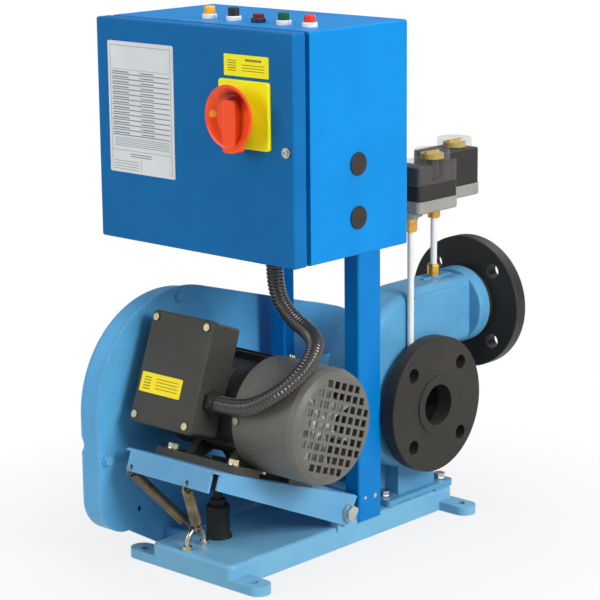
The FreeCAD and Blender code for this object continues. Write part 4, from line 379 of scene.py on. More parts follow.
    def _zone(self) -> Group:
        """Make the mask of an egg-shaped zone; a very long one serves as a slab or as the wall of a bore.

        Returns:
            The group.
        """
        wiring, given, out = self._open(
            "colour_zone", {"Vector": None, "Centre": None, "Reach": None, "Soft": 0.01}, ("Mask",))
        offset = wiring.vector("SUBTRACT", given["Vector"], given["Centre"])
        share = wiring.vector("DIVIDE", offset.outputs["Vector"], given["Reach"])
        size = wiring.vector("LENGTH", share.outputs["Vector"])
        fade = wiring.calc("DIVIDE", wiring.calc("SUBTRACT", 1.0, size.outputs["Value"]), given["Soft"])
        wiring.feed(out["Mask"], wiring.calc("MAXIMUM", wiring.calc("MINIMUM", fade, 1.0), 0.0))
        return wiring.tree


@dataclass(frozen=True)
class Grain:
    """Fine texture of a skin.

    Attributes:
        fine: Scale of the fine grain, per metre.
        coarse: Scale of the coarse grain, per metre.
        depth: Depth of the grain in metres.
    """

    fine: float = 900.0
    coarse: float = 220.0
    depth: float = 0.00002


SMOOTH = Grain(depth=0.00001)
MOULDED = Grain()
FINE_MOULDED = Grain(1200.0, 300.0)
BLACK_MOULDED = Grain(1800.0, 500.0, 0.00003)
TURNED = Grain(1600.0, 300.0)
SPRAYED = Grain(1200.0, 420.0, 0.00010)
POWDER = Grain(1400.0, 500.0, 0.00005)


@dataclass(frozen=True)
class Zone:
    """A part of a surface with a paint of its own; some zones are painted shade.

    Attributes:
        centre: Middle of the zone in metres.
        reach: Half of its length along each axis.
        colour: Its colour.
        soft: Share of the reach over which the zone fades in.
    """

    centre: Point
    reach: Point
    colour: Colour
    soft: float = 0.01


# Bore walls painted near black: bare cast iron, darkened further as painted shade deep inside the casing.
INLET_BORE_SHADE = Zone((0.150, 0.132, 0.149), (0.130, 0.0450, 0.0450), tint(14, 14, 13))
OUTLET_BORE_SHADE = Zone((0.035, 0.300, 0.246), (0.0262, 0.160, 0.0262), tint(14, 14, 13))
POST_SCREWS = Zone((0.0, 0.0135, 0.030), (0.100, 0.035, 0.035), tint(10, 128, 200))
GUARD_SCREWS = Zone((-0.200, 0.0, 0.0), (0.112, 5.0, 5.0), tint(96, 168, 214))
# Painted shade in the knob's bowl: darker red where the bowl lies in shadow.
KNOB_RECESS_SHADE = Zone((0.0855, -0.1975, 0.5570), (0.0290, 0.0110, 0.0215), tint(132, 10, 8), 0.6)
KNOB_DOT = Zone((0.0545, -0.2033, 0.5350), (0.0036, 0.0050, 0.0046), tint(252, 176, 40), 0.2)
STOP_BEZEL = Zone((0.0423, -0.1180, 0.6240), (0.0120, 0.0120, 0.0300), tint(40, 52, 70))
AMBER_LENS = Zone((-0.5, 0.0, 0.6), (0.5, 5.0, 5.0), tint(248, 176, 44))


@dataclass(frozen=True)
class Bars:
    """A block of level printed bars in metres, or one line where pitch and fill are left as they are.

    Attributes:
        left: Lower end in X.
        right: Upper end in X.
        bottom: Lower end in Z.
        top: Upper end in Z.
        pitch: Height from one bar to the next.
        fill: Inked share of the pitch.
    """

    left: float
    right: float
    bottom: float
    top: float
    pitch: float = 1.0
    fill: float = 1.0


@dataclass(frozen=True)
class Finish:
    """One finish: its colours, gloss and skin.

    Attributes:
        name: Name of the material.
        colour: Main colour.
        shade: Colour that the main one drifts to.
        rough: Roughness.
        spread: How far the roughness drifts.
        metal: 1 for bare metal.
        drift: Scale of the colour drift, per metre.
        grain: Texture of the skin.
        worn_and_lit: Lighter colour of the edges, for rubbed paint and a painted highlight.
        wear_and_highlight: Strength of these lighter edges, 0 for none.
        dust: Strength of the dust on upward faces.
        coat: Weight of the clear coat.
        gloss: Strength of the mirror part of the shine, 0.5 for plain plastic.
        alpha: Below 1 for see-through plastic.
        bounce: Colour of the light that it casts on its neighbours, if not its own.
    """

    name: str
    colour: Colour
    shade: Colour
    rough: float = 0.5
    spread: float = 0.12
    metal: float = 0.0
    drift: float = 14.0
    grain: Grain = MOULDED
    # The lighter edge colour paints rubbed paint and a highlight where the edges catch the light.
    worn_and_lit: Colour = WHITE
    wear_and_highlight: float = 0.0
    dust: float = 0.0
    coat: float = 0.0
    gloss: float = 0.3
    alpha: float = 1.0
    bounce: Colour | None = None

    def build(self, effects: Effects) -> bpy.types.Material:
        """Make the material.

        Args:
            effects: The shared shader groups.

        Returns:
            The finished material.
        """
        material = bpy.data.materials.new(self.name)
        material.use_nodes = True
        wiring = Wiring(material.node_tree)
        place = wiring.add("ShaderNodeTexCoord").outputs["Object"]
        colour, rough, metal = self._colour(wiring, effects, place)
        if self.bounce:
            path = wiring.add("ShaderNodeLightPath")
            colour = wiring.mix(path.outputs["Is Diffuse Ray"], colour, self.bounce)
        grain = wiring.group(effects.grain, Vector=place, Fine_Scale=self.grain.fine,
                             Coarse_Scale=self.grain.coarse, Depth=self.grain.depth)
        bump = wiring.add("ShaderNodeBump", Strength=1.0, Distance=1.0, Height=grain.outputs["Height"])
        skin = wiring.add("ShaderNodeBsdfPrincipled", Base_Color=colour, Roughness=rough,
                          Normal=bump.outputs["Normal"], Metallic=metal, Coat_Weight=self.coat,
                          Coat_Roughness=0.12, Specular_IOR_Level=self.gloss, Alpha=self.alpha)
        wiring.add("ShaderNodeOutputMaterial", Surface=skin.outputs["BSDF"])
        material.diffuse_color = self.colour
        return material

    def _colour(self, wiring: Wiring, effects: Effects, place: Socket) -> tuple:
        """Chain drift, the lighter edges of rubbed paint and painted highlight, and dust.

        Args:
            wiring: The material's tree.
            effects: The shared shader groups.
            place: Object coordinates.

        Returns:
            The sockets of the colour and of the roughness, and the share of bare metal.
        """
        drift = wiring.group(effects.drift, Vector=place, Color=self.colour, Shade=self.shade,
                             Scale=self.drift, Roughness=self.rough, Spread=self.spread)
        colour = drift.outputs["Color"]
        rough = drift.outputs["Roughness"]
        # Lighter edges: rubbed paint, and a painted highlight along them.
        if self.wear_and_highlight:
            wear_and_highlight = wiring.group(effects.wear_and_highlight, Vector=place, Color=colour, Worn=self.worn_and_lit, Amount=self.wear_and_highlight)
            colour = wear_and_highlight.outputs["Color"]
        if self.dust:
            dust = wiring.group(effects.dust, Vector=place, Color=colour, Roughness=rough, Amount=self.dust)
            colour = dust.outputs["Color"]
            rough = dust.outputs["Roughness"]
        return colour, rough, self.metal


@dataclass(frozen=True)
class ZonedFinish(Finish):
    """A finish with zones of other paint, some of them painted shade, which cover bare metal.

    Attributes:
        zones: The zones, later ones over earlier ones.
    """

    zones: tuple[Zone, ...] = ()

    def _colour(self, wiring: Wiring, effects: Effects, place: Socket) -> tuple:
        """Paint the zones over the plain finish.

        Args:
            wiring: The material's tree.
            effects: The shared shader groups.
            place: Object coordinates.

        Returns:
            The sockets of the colour and of the roughness, and the share of bare metal.
        """
        colour, rough, metal = super()._colour(wiring, effects, place)
        for zone in self.zones:
            spot = wiring.group(effects.zone, Vector=place, Centre=zone.centre, Reach=zone.reach,
                                Soft=zone.soft)
            mask = spot.outputs["Mask"]
            colour = wiring.mix(mask, colour, zone.colour)
            if self.metal:
                metal = wiring.calc("MULTIPLY", metal, wiring.calc("SUBTRACT", 1.0, mask))
        return colour, rough, metal


@dataclass(frozen=True)
class PrintedFinish(Finish):
    """A finish with level bars printed on it.

    Attributes:
        ink: Colour of the bars.
        print: The blocks of bars.
    """

    ink: Colour = BLACK
    print: tuple[Bars, ...] = ()

    def _colour(self, wiring: Wiring, effects: Effects, place: Socket) -> tuple:
        """Print the bars over the plain finish.

        Args:
            wiring: The material's tree.
            effects: The shared shader groups.
            place: Object coordinates.

        Returns:
            The sockets of the colour and of the roughness, and the share of bare metal.
        """
        colour, rough, metal = super()._colour(wiring, effects, place)
        for bars in self.print:
            rows = wiring.group(effects.rows, Vector=place, Left=bars.left, Right=bars.right,
                                Bottom=bars.bottom, Top=bars.top, Pitch=bars.pitch, Fill=bars.fill)
            colour = wiring.mix(rows.outputs["Mask"], colour, self.ink)
        return colour, rough, metal


RATING_PRINT = (
    Bars(-0.1255, -0.0335, 0.4935, 0.5680, 0.0057, 0.22),
    Bars(-0.0800, -0.0794, 0.4935, 0.5680),
    Bars(-0.1275, -0.1269, 0.4540, 0.5945),
    Bars(-0.0318, -0.0312, 0.4540, 0.5945),
    Bars(-0.1275, -0.0312, 0.5939, 0.5945),
    Bars(-0.1240, -0.0980, 0.4958, 0.5690, 0.0057, 0.26),
    Bars(-0.0780, -0.0580, 0.4958, 0.5690, 0.0057, 0.26),
    Bars(-0.1225, -0.0345, 0.4815, 0.4915, 0.0022, 0.30),
    Bars(-0.1275, -0.0312, 0.4765, 0.4770),
    Bars(-0.0980, -0.0640, 0.4700, 0.4745, 0.0026, 0.45),
    Bars(-0.1245, -0.0840, 0.4550, 0.4670, 0.0030, 0.22),
    Bars(-0.0808, -0.0802, 0.4540, 0.4680))
DOOR_LABEL_PRINT = (
    Bars(0.0565, 0.0690, 0.5795, 0.5925, 0.0026, 0.40),
    Bars(0.0780, 0.1100, 0.5800, 0.5880, 0.0030, 0.30),
    Bars(0.0820, 0.1060, 0.5905, 0.5930))
LID_LABEL_PRINT = (
    Bars(-0.0625, -0.0515, 0.2130, 0.2275, 0.0030, 0.45),
    Bars(-0.0435, -0.0085, 0.2150, 0.2275, 0.0034, 0.30))


class Paint(Enum):
    """The finishes of the machine."""

    # The lighter edge tints of the painted finishes stand for rubbed paint and for a painted highlight along
    # the edges.
    BASE_BLUE = Finish(
        "base_blue_enamel", tint(122, 184, 216), tint(110, 173, 208), 0.40, 0.15, worn_and_lit=tint(196, 225, 243),
        wear_and_highlight=0.5, dust=0.10, grain=Grain(700.0, 160.0, 0.00010), coat=0.05, gloss=0.25)
    BLOWER_BLUE = ZonedFinish(
        "blower_blue_enamel", tint(92, 160, 200), tint(80, 148, 190), 0.42, 0.15, worn_and_lit=tint(178, 214, 236),
        wear_and_highlight=0.45, dust=0.08, grain=Grain(700.0, 160.0, 0.00012), gloss=0.25, zones=(INLET_BORE_SHADE, OUTLET_BORE_SHADE))
    SHEET_BLUE = Finish(
        "guard_blue_enamel", tint(94, 172, 220), tint(80, 160, 210), 0.38, 0.12, worn_and_lit=tint(186, 219, 240),
        wear_and_highlight=0.5, dust=0.06, grain=Grain(500.0, 90.0, 0.00006), coat=0.05, gloss=0.25)
    CABINET = Finish(
        "cabinet_powder_blue", tint(0, 134, 208), tint(0, 126, 200), 0.42, 0.10, worn_and_lit=tint(60, 168, 236),
        wear_and_highlight=0.4, dust=0.03, grain=POWDER, gloss=0.15)
    # The door's paint is the cabinet's powder blue darkened as painted shade, for its face that turns away
    # from the key lamp.
    DOOR = Finish(
        "door_powder_blue", tint(0, 106, 170), tint(0, 99, 163), 0.42, 0.10, worn_and_lit=tint(40, 150, 222),
        wear_and_highlight=0.35, dust=0.03, grain=POWDER, gloss=0.15)
    POST = Finish(
        "post_powder_blue", tint(0, 123, 197), tint(0, 115, 189), 0.42, 0.10, worn_and_lit=tint(76, 180, 238),
        wear_and_highlight=0.4, dust=0.04, grain=POWDER, gloss=0.15)
    PLATFORM = Finish(
        "platform_blue_enamel", tint(104, 166, 206), tint(92, 154, 196), 0.40, 0.12, worn_and_lit=tint(190, 220, 240),
        wear_and_highlight=0.5, dust=0.08, grain=Grain(600.0, 120.0, 0.00008), coat=0.05, gloss=0.25)
    CAST_BLACK = Finish(
        "cast_black_paint", tint(42, 41, 37), tint(54, 52, 47), 0.46, 0.2, worn_and_lit=tint(116, 108, 96), wear_and_highlight=0.4,
        dust=0.05, grain=Grain(600.0, 180.0, 0.00012), gloss=0.22)
    MOTOR = Finish(
        "motor_grey_paint", tint(63, 62, 57), tint(56, 55, 50), 0.46, 0.15, worn_and_lit=tint(128, 125, 116),
        wear_and_highlight=0.35, dust=0.08, grain=SPRAYED, gloss=0.3)
    COWL = Finish(
        "cowl_grey_paint", tint(104, 102, 96), tint(94, 92, 86), 0.44, 0.15, worn_and_lit=tint(146, 143, 134),
        wear_and_highlight=0.35, dust=0.08, grain=SPRAYED, gloss=0.35)
    STEEL = ZonedFinish(
        "bright_steel", tint(205, 204, 200), tint(176, 175, 172), 0.28, 0.2, metal=1.0, grain=TURNED,
        zones=(POST_SCREWS, GUARD_SCREWS))
    SCREW = Finish(
        "passivated_screws", tint(222, 212, 182), tint(190, 176, 138), 0.30, 0.2, metal=1.0, drift=60.0,
        grain=TURNED)
    ZINC = Finish(
        "zinc_plated_wire", tint(214, 206, 186), tint(170, 158, 132), 0.32, 0.25, metal=1.0, drift=50.0,
        grain=Grain(900.0, 260.0, 0.00003))
    GALVANISED = Finish(
        "galvanised_sheet", tint(206, 208, 206), tint(190, 193, 192), 0.42, 0.12, metal=0.5, drift=26.0,
        grain=Grain(900.0, 260.0))
    SPRING = Finish(
        "oiled_spring_wire", tint(142, 130, 106), tint(104, 88, 66), 0.42, 0.2, metal=0.75, drift=60.0,
        grain=Grain(900.0, 260.0, 0.00004))
    RUBBER = Finish(
        "black_rubber", tint(38, 37, 34), tint(30, 29, 27), 0.62, 0.15, dust=0.08,
        grain=Grain(900.0, 260.0, 0.00006))
    BELT = Finish(
        "belt_fabric_rubber", tint(44, 43, 42), tint(62, 60, 56), 0.7, 0.1,
        grain=Grain(1500.0, 500.0, 0.00008))
    COPPER = Finish(
        "varnished_winding", tint(120, 66, 36), tint(92, 84, 78), 0.4, 0.2, metal=0.6, drift=60.0,
        grain=Grain(1200.0, 400.0, 0.00008))
    BLACK_PLASTIC = Finish(
        "black_moulding", tint(36, 34, 32), tint(46, 44, 41), 0.42, 0.12, dust=0.06, grain=BLACK_MOULDED)
    WHITE_PLASTIC = Finish(
        "white_moulding", tint(240, 239, 234), tint(226, 224, 216), 0.4, 0.1, grain=FINE_MOULDED)
    BEZEL = ZonedFinish(
        "bezel_moulding", tint(240, 238, 234), tint(226, 222, 216), 0.3, 0.1, grain=FINE_MOULDED,
        zones=(STOP_BEZEL,))
    RED_PLASTIC = ZonedFinish(
        "red_moulding", tint(255, 84, 30), tint(252, 66, 20), 0.30, 0.1, grain=Grain(coarse=200.0), coat=0.1,
        bounce=tint(224, 176, 84), zones=(KNOB_RECESS_SHADE, KNOB_DOT))
    DARK_RED = Finish("dark_red_moulding", tint(128, 24, 18), tint(112, 18, 12), 0.3, 0.1)
    GREEN_PLASTIC = Finish("green_moulding", tint(18, 92, 60), tint(12, 80, 50), 0.3, 0.1)
    YELLOW_PLASTIC = Finish("yellow_moulding", tint(252, 248, 26), tint(252, 240, 18), 0.34, 0.1)
    DIAL = Finish("dial_moulding", tint(214, 186, 96), tint(196, 166, 78), 0.34, 0.1)
    ALUMINIUM = Finish(
        "milled_aluminium", tint(200, 202, 206), tint(182, 184, 188), 0.34, 0.2, metal=1.0,
        grain=Grain(depth=0.00003))
    BRASS = Finish("turned_brass", tint(222, 172, 82), tint(186, 128, 60), 0.28, 0.15, metal=1.0, drift=40.0)
    TUBE = Finish("grey_tube_paint", tint(236, 238, 234), tint(222, 224, 220), 0.34, 0.1, gloss=0.4)
    DIE_CAST = Finish(
        "die_cast_zinc", tint(160, 158, 152), tint(138, 136, 129), 0.46, 0.15, metal=0.25,
        worn_and_lit=tint(225, 226, 224), wear_and_highlight=0.3, dust=0.05, grain=Grain(900.0, 260.0, 0.00008))
    CLEAR = Finish(
        "clear_switch_cover", tint(150, 142, 140), tint(120, 112, 112), 0.06, 0.04, grain=SMOOTH, coat=0.6,
        gloss=0.5, alpha=0.20)
    FOAM = Finish(
        "gasket_foam", tint(26, 26, 27), tint(36, 36, 36), 0.85, 0.1, grain=Grain(2400.0, 900.0, 0.0001))
    # Its lighter edge tint paints the highlight that the ridge crests of the corrugation catch.
    CONDUIT = Finish(
        "conduit_sheath", tint(52, 47, 42), tint(38, 34, 31), 0.30, 0.15, worn_and_lit=tint(158, 152, 142), wear_and_highlight=0.45,
        grain=BLACK_MOULDED, coat=0.5, gloss=0.5)
    LENS = ZonedFinish(
        "lamp_lens", tint(236, 52, 28), tint(220, 38, 18), 0.18, 0.05, grain=SMOOTH, coat=0.4,
        zones=(AMBER_LENS,))
    NAME_PLATE = PrintedFinish(
        "rating_plate_print", tint(226, 229, 231), tint(212, 215, 218), 0.36, 0.12, metal=0.1, drift=10.0,
        grain=SMOOTH, ink=tint(134, 140, 146), print=RATING_PRINT)
    DOOR_LABEL = PrintedFinish(
        "door_label_print", tint(252, 246, 24), tint(252, 238, 16), 0.4, 0.1, grain=SMOOTH,
        ink=tint(150, 132, 20), print=DOOR_LABEL_PRINT)
    LID_LABEL = PrintedFinish(
        "lid_label_print", tint(255, 232, 24), tint(252, 222, 16), 0.4, 0.1, grain=SMOOTH,
        ink=tint(160, 142, 24), print=LID_LABEL_PRINT)


NODE_PAINT: dict[Paint, tuple[str, ...]] = {
    Paint.BASE_BLUE: ("base_plate",),
    Paint.BLOWER_BLUE: ("blower_volute", "bearing_housing"),
    Paint.SHEET_BLUE: ("guard_cover", "guard_backplate", "guard_brackets"),
    Paint.CABINET: ("cabinet_body", "hinge_pins"),
    Paint.DOOR: ("door",),
    Paint.POST: ("cabinet_posts",),
    Paint.PLATFORM: ("motor_platform",),
    Paint.CAST_BLACK: ("inlet_flange", "outlet_flange", "blower_pulley", "motor_pulley"),
    Paint.MOTOR: ("motor_frame", "end_shields", "terminal_box", "terminal_lid"),
    Paint.COWL: ("fan_cowl",),
    Paint.STEEL: ("frame_bolts", "pivot_bolts", "blower_bearings", "blower_shaft", "motor_bearings",
                  "rotor_shaft", "lock_body", "lock_barrel"),
    Paint.SCREW: ("motor_screws",),
    Paint.ZINC: ("u_bolt",),
    Paint.GALVANISED: ("mounting_plate",),
    Paint.SPRING: ("spring_right", "spring_left"),
    Paint.RUBBER: ("rubber_buffer", "buffer_stop"),
    Paint.BELT: ("drive_belt",),
    Paint.COPPER: ("stator_core",),
    Paint.BLACK_PLASTIC: ("motor_gland", "cabinet_gland", "control_gear", "blank_plugs", "reset_button",
                          "switch_bodies"),
    Paint.WHITE_PLASTIC: ("motor_fan",),
    Paint.BEZEL: ("top_bezels",),
    Paint.DARK_RED: ("stop_button",),
    Paint.GREEN_PLASTIC: ("start_button",),
    Paint.RED_PLASTIC: ("isolator_handle",),
    Paint.YELLOW_PLASTIC: ("isolator_plate",),
    Paint.DIAL: ("inlet_dial", "outlet_dial"),
    Paint.ALUMINIUM: ("impeller", "door_plates"),
    Paint.BRASS: ("tube_fittings",),
    Paint.TUBE: ("sensing_tubes",),
    Paint.DIE_CAST: ("switch_bases",),
    Paint.CLEAR: ("switch_covers",),
    Paint.FOAM: ("door_gasket",),
    Paint.CONDUIT: ("conduit",),
    Paint.LENS: ("lamp_lenses",),
}


class PaintShop:
    """Builds each finish once and puts it on frame nodes and new pieces."""

    def __init__(self) -> None:
        """Make the shared effects."""
        self.effects = Effects()
        self.made: dict[Paint, bpy.types.Material] = {}

    def material(self, paint: Paint) -> bpy.types.Material:
        """Give the material of a finish, made on its first use.

        Args:
            paint: The finish.

        Returns:
            Its material.
        """
        if paint not in self.made:
            self.made[paint] = paint.value.build(self.effects)
        return self.made[paint]

    def coat(self, piece: Piece, paint: Paint, slot: str) -> Piece:
        """Dress a new piece.

        Args:
            piece: The new piece.
            paint: Its finish.
            slot: The record's material slot; not used.

        Returns:
            The same piece.
        """
        piece.data.materials.clear()
        piece.data.materials.append(self.material(paint))
        return piece

    def coat_nodes(self, nodes: dict[str, Piece]) -> None:
        """Dress every frame node.

        Args:
            nodes: The frame's nodes by name.
        """
        for paint, names in NODE_PAINT.items():
            for name in names:
                for place in nodes[name].material_slots:
                    place.material = self.material(paint)
        LOG.info("dressed %d frame nodes", sum(len(names) for names in NODE_PAINT.values()))


def finish_piece(mesh: Mesh, name: str, body: str, smooth: bool = True) -> Piece:
    """Turn a bmesh into a piece at the origin that rides on a body.

    Args:
        mesh: The finished bmesh, in metres.
        name: Name of the piece.
        body: Body that it rides on, or an empty text to leave it free.
        smooth: Whether the faces are shaded smooth.

    Returns:
        The new object.
    """
    bmesh.ops.remove_doubles(mesh, verts=mesh.verts, dist=1e-6)
    bmesh.ops.recalc_face_normals(mesh, faces=mesh.faces)
    data = bpy.data.meshes.new(name)
    mesh.to_mesh(data)
    mesh.free()
    data.polygons.foreach_set("use_smooth", [smooth] * len(data.polygons))
    piece = bpy.data.objects.new(name, data)
    bpy.context.scene.collection.objects.link(piece)
    if body:
        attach(piece, body)
    LOG.info("piece %s: %d faces", name, len(data.polygons))
    return piece


def soften(mesh: Mesh, edges: list[bmesh.types.BMEdge], width: float, segments: int = 2) -> None:
    """Round edges off.

    Args:
        mesh: The bmesh that the edges are in.
        edges: The edges to round.
        width: Width of the rounding in metres.
        segments: Number of faces across it.
    """
    bmesh.ops.bevel(mesh, geom=edges, offset=width, segments=segments, profile=0.5, affect="EDGES",
                    material=-1)


def thicken(mesh: Mesh, faces: list[bmesh.types.BMFace], width: float) -> None:
    """Make a solid of faces that look along X.

    Args:
        mesh: The bmesh that the faces are in.
        faces: The faces to pull out.
        width: How far they are pulled in X, in metres.
    """
    grown = bmesh.ops.extrude_face_region(mesh, geom=faces)
    moved = [part for part in grown["geom"] if isinstance(part, bmesh.types.BMVert)]
    bmesh.ops.translate(mesh, verts=moved, vec=(width, 0.0, 0.0))


def add_plate(mesh: Mesh, low: Point, high: Point, corner: float, axis: Axis) -> None:
    """Add a plate with four round corners.

    Args:
        mesh: The bmesh to add to.
        low: Lowest corner in metres.
        high: Highest corner in metres.
        corner: Radius of the corners that run along the axis.
        axis: Axis that the corners run along.
    """
    centre = (Vector(low) + Vector(high)) / 2
    size = Vector(high) - Vector(low)
    place = Matrix.Translation(centre) @ Matrix.Diagonal((*size, 1.0))
    made = bmesh.ops.create_cube(mesh, size=1.0, matrix=place)
    edges = {edge for vert in made["verts"] for edge in vert.link_edges}
    upright = [edge for edge in edges
               if abs((edge.verts[0].co - edge.verts[1].co)[axis.value]) > 0.5 * size[axis.value]]
    soften(mesh, upright, corner, 5)


def add_drum(mesh: Mesh, place: Matrix, radius: float, height: float, sides: int, soft: float) -> None:
    """Add a short drum or a hexagon with softened rims.

    Args:
        mesh: The bmesh to add to.
        place: Its middle and the turn of its axis.
        radius: Radius to the corners.
        height: Height along the axis.
        sides: Number of sides, 6 for a screw head.
        soft: Width of the softened rims.
    """
    made = bmesh.ops.create_cone(mesh, cap_ends=True, segments=sides, radius1=radius, radius2=radius,
                                 depth=height, matrix=place)
    caps = {face for vert in made["verts"] for face in vert.link_faces if len(face.verts) == sides}
    soften(mesh, list({edge for face in caps for edge in face.edges}), soft)


@dataclass(frozen=True)
class Lamp:
    """One square lamp.

    Attributes:
        name: Name of the lamp.
        place: Where it hangs, in metres.
        target: Where it points.
        side: Length of its side in metres.
        power: Power in watts.
    """

    name: str
    place: Point
    target: Point
    side: float
    power: float

    def hang(self) -> None:
        """Put the lamp in the scene."""
        data = bpy.data.lights.new(self.name, "AREA")
        data.size = self.side
        data.energy = self.power
        lamp = bpy.data.objects.new(self.name, data)
        lamp.location = self.place
        lamp.rotation_euler = (Vector(self.target) - Vector(self.place)).to_track_quat("-Z", "Y").to_euler()
        bpy.context.scene.collection.objects.link(lamp)


@dataclass
class Studio:
    """Floor, lamps and the photograph's camera."""

    azimuth: float = 42.564
    elevation: float = 13.097
    roll: float = -0.557
    focal_px: float = 2187.19
    frame_px: float = 600.0
    place: Point = (1.68187, -1.84124, 0.86770)
    sensor_mm: float = 36.0
    view_end: float = 60.0
    floor_half: float = 30.0
    floor_drop: float = 0.0002
    floor_paint: Colour = tint(198, 198, 198)
    fade_start: float = 0.26
    fade_end: float = 0.55
    fade_least: float = 0.80
    sky: Colour = (0.96, 0.98, 1.0, 1.0)
    sky_level: float = 0.27
    lamps: tuple[Lamp, ...] = (
        Lamp("key", (2.6, -0.15, 1.5), (0.0, 0.0, 0.3), 1.2, 70.0),
        Lamp("front", (-0.9, -2.4, 1.5), (0.0, 0.0, 0.3), 1.6, 34.0),
        Lamp("top", (0.2, 0.2, 2.4), (0.0, 0.0, 0.2), 1.4, 21.0),
        Lamp("back", (-0.3, 2.9, 1.5), (0.0, 0.0, 0.3), 1.6, 20.0))

    def camera(self) -> None:
        """Set the camera to the photograph's view."""
        turn, lift, roll = (math.radians(v) for v in (self.azimuth, self.elevation, self.roll))
        back = Vector((math.sin(turn) * math.cos(lift), -math.cos(turn) * math.cos(lift), math.sin(lift)))
        right = Vector((math.cos(turn), math.sin(turn), 0.0))
        up = back.cross(right)
        across = right * math.cos(roll) + up * math.sin(roll)
        upward = up * math.cos(roll) - right * math.sin(roll)
        data = bpy.data.cameras.new("photo_camera")
        data.sensor_width = self.sensor_mm
        data.lens = self.focal_px / self.frame_px * self.sensor_mm
        data.clip_end = self.view_end
        camera = bpy.data.objects.new("photo_camera", data)
        turned = Matrix((across, upward, back)).transposed()
        camera.matrix_world = Matrix.Translation(self.place) @ turned.to_4x4()
        bpy.context.scene.collection.objects.link(camera)
        bpy.context.scene.camera = camera
        LOG.info("camera set")

    def floor(self) -> None:
        """Lay the pale floor that fades to white away from the machine."""
        mesh = bmesh.new()
        bmesh.ops.create_grid(mesh, x_segments=8, y_segments=8, size=self.floor_half,
                              matrix=Matrix.Translation((0.0, 0.0, -self.floor_drop)))
        data = bpy.data.meshes.new("floor")
        mesh.to_mesh(data)
        mesh.free()
        data.materials.append(self._floor_material())
        floor = bpy.data.objects.new("floor", data)
        bpy.context.scene.collection.objects.link(floor)
        LOG.info("floor laid")

    def _floor_material(self) -> bpy.types.Material:
        """Make the floor's material, which keeps the shadow and shows white to the eye.

        Returns:
            The material.
        """
        material = bpy.data.materials.new("pale_floor")
        material.use_nodes = True
        wiring = Wiring(material.node_tree)
        away = wiring.vector("LENGTH", wiring.add("ShaderNodeTexCoord").outputs["Object"])
        path = wiring.add("ShaderNodeLightPath").outputs
        seen = wiring.calc("MAXIMUM", path["Is Glossy Ray"], path["Is Transmission Ray"])
        seen = wiring.calc("MAXIMUM", path["Is Camera Ray"], seen)
        fade = wiring.span(away.outputs["Value"], self.fade_start, self.fade_end, self.fade_least, 1.0)
        matt = wiring.add("ShaderNodeBsdfPrincipled", Base_Color=self.floor_paint, Roughness=0.9)
        white = wiring.add("ShaderNodeEmission", Color=WHITE, Strength=1.0)
        shown = wiring.calc("MULTIPLY", fade, seen)
        both = wiring.layer(shown, matt.outputs["BSDF"], white.outputs["Emission"])
        wiring.add("ShaderNodeOutputMaterial", Surface=both)
        return material

    def world(self) -> None:
        """Show white to the eye, and plain even light to everything else."""
        world = bpy.data.worlds.new("studio")
        bpy.context.scene.world = world
        world.use_nodes = True
        wiring = Wiring(world.node_tree)
        path = wiring.add("ShaderNodeLightPath")
        white = wiring.add("ShaderNodeBackground", Color=WHITE, Strength=1.0)
        soft = wiring.add("ShaderNodeBackground", Color=self.sky, Strength=self.sky_level)
        both = wiring.layer(path.outputs["Is Camera Ray"], soft.outputs["Background"],
                            white.outputs["Background"])
        wiring.add("ShaderNodeOutputWorld", Surface=both)
        bpy.context.scene.view_settings.view_transform = "Standard"
        LOG.info("world set")

    def build(self) -> None:
        """Set up camera, floor, world and lamps."""
        self.camera()
        self.floor()
        self.world()
        for lamp in self.lamps:
            lamp.hang()
        LOG.info("%d lamps hung", len(self.lamps))


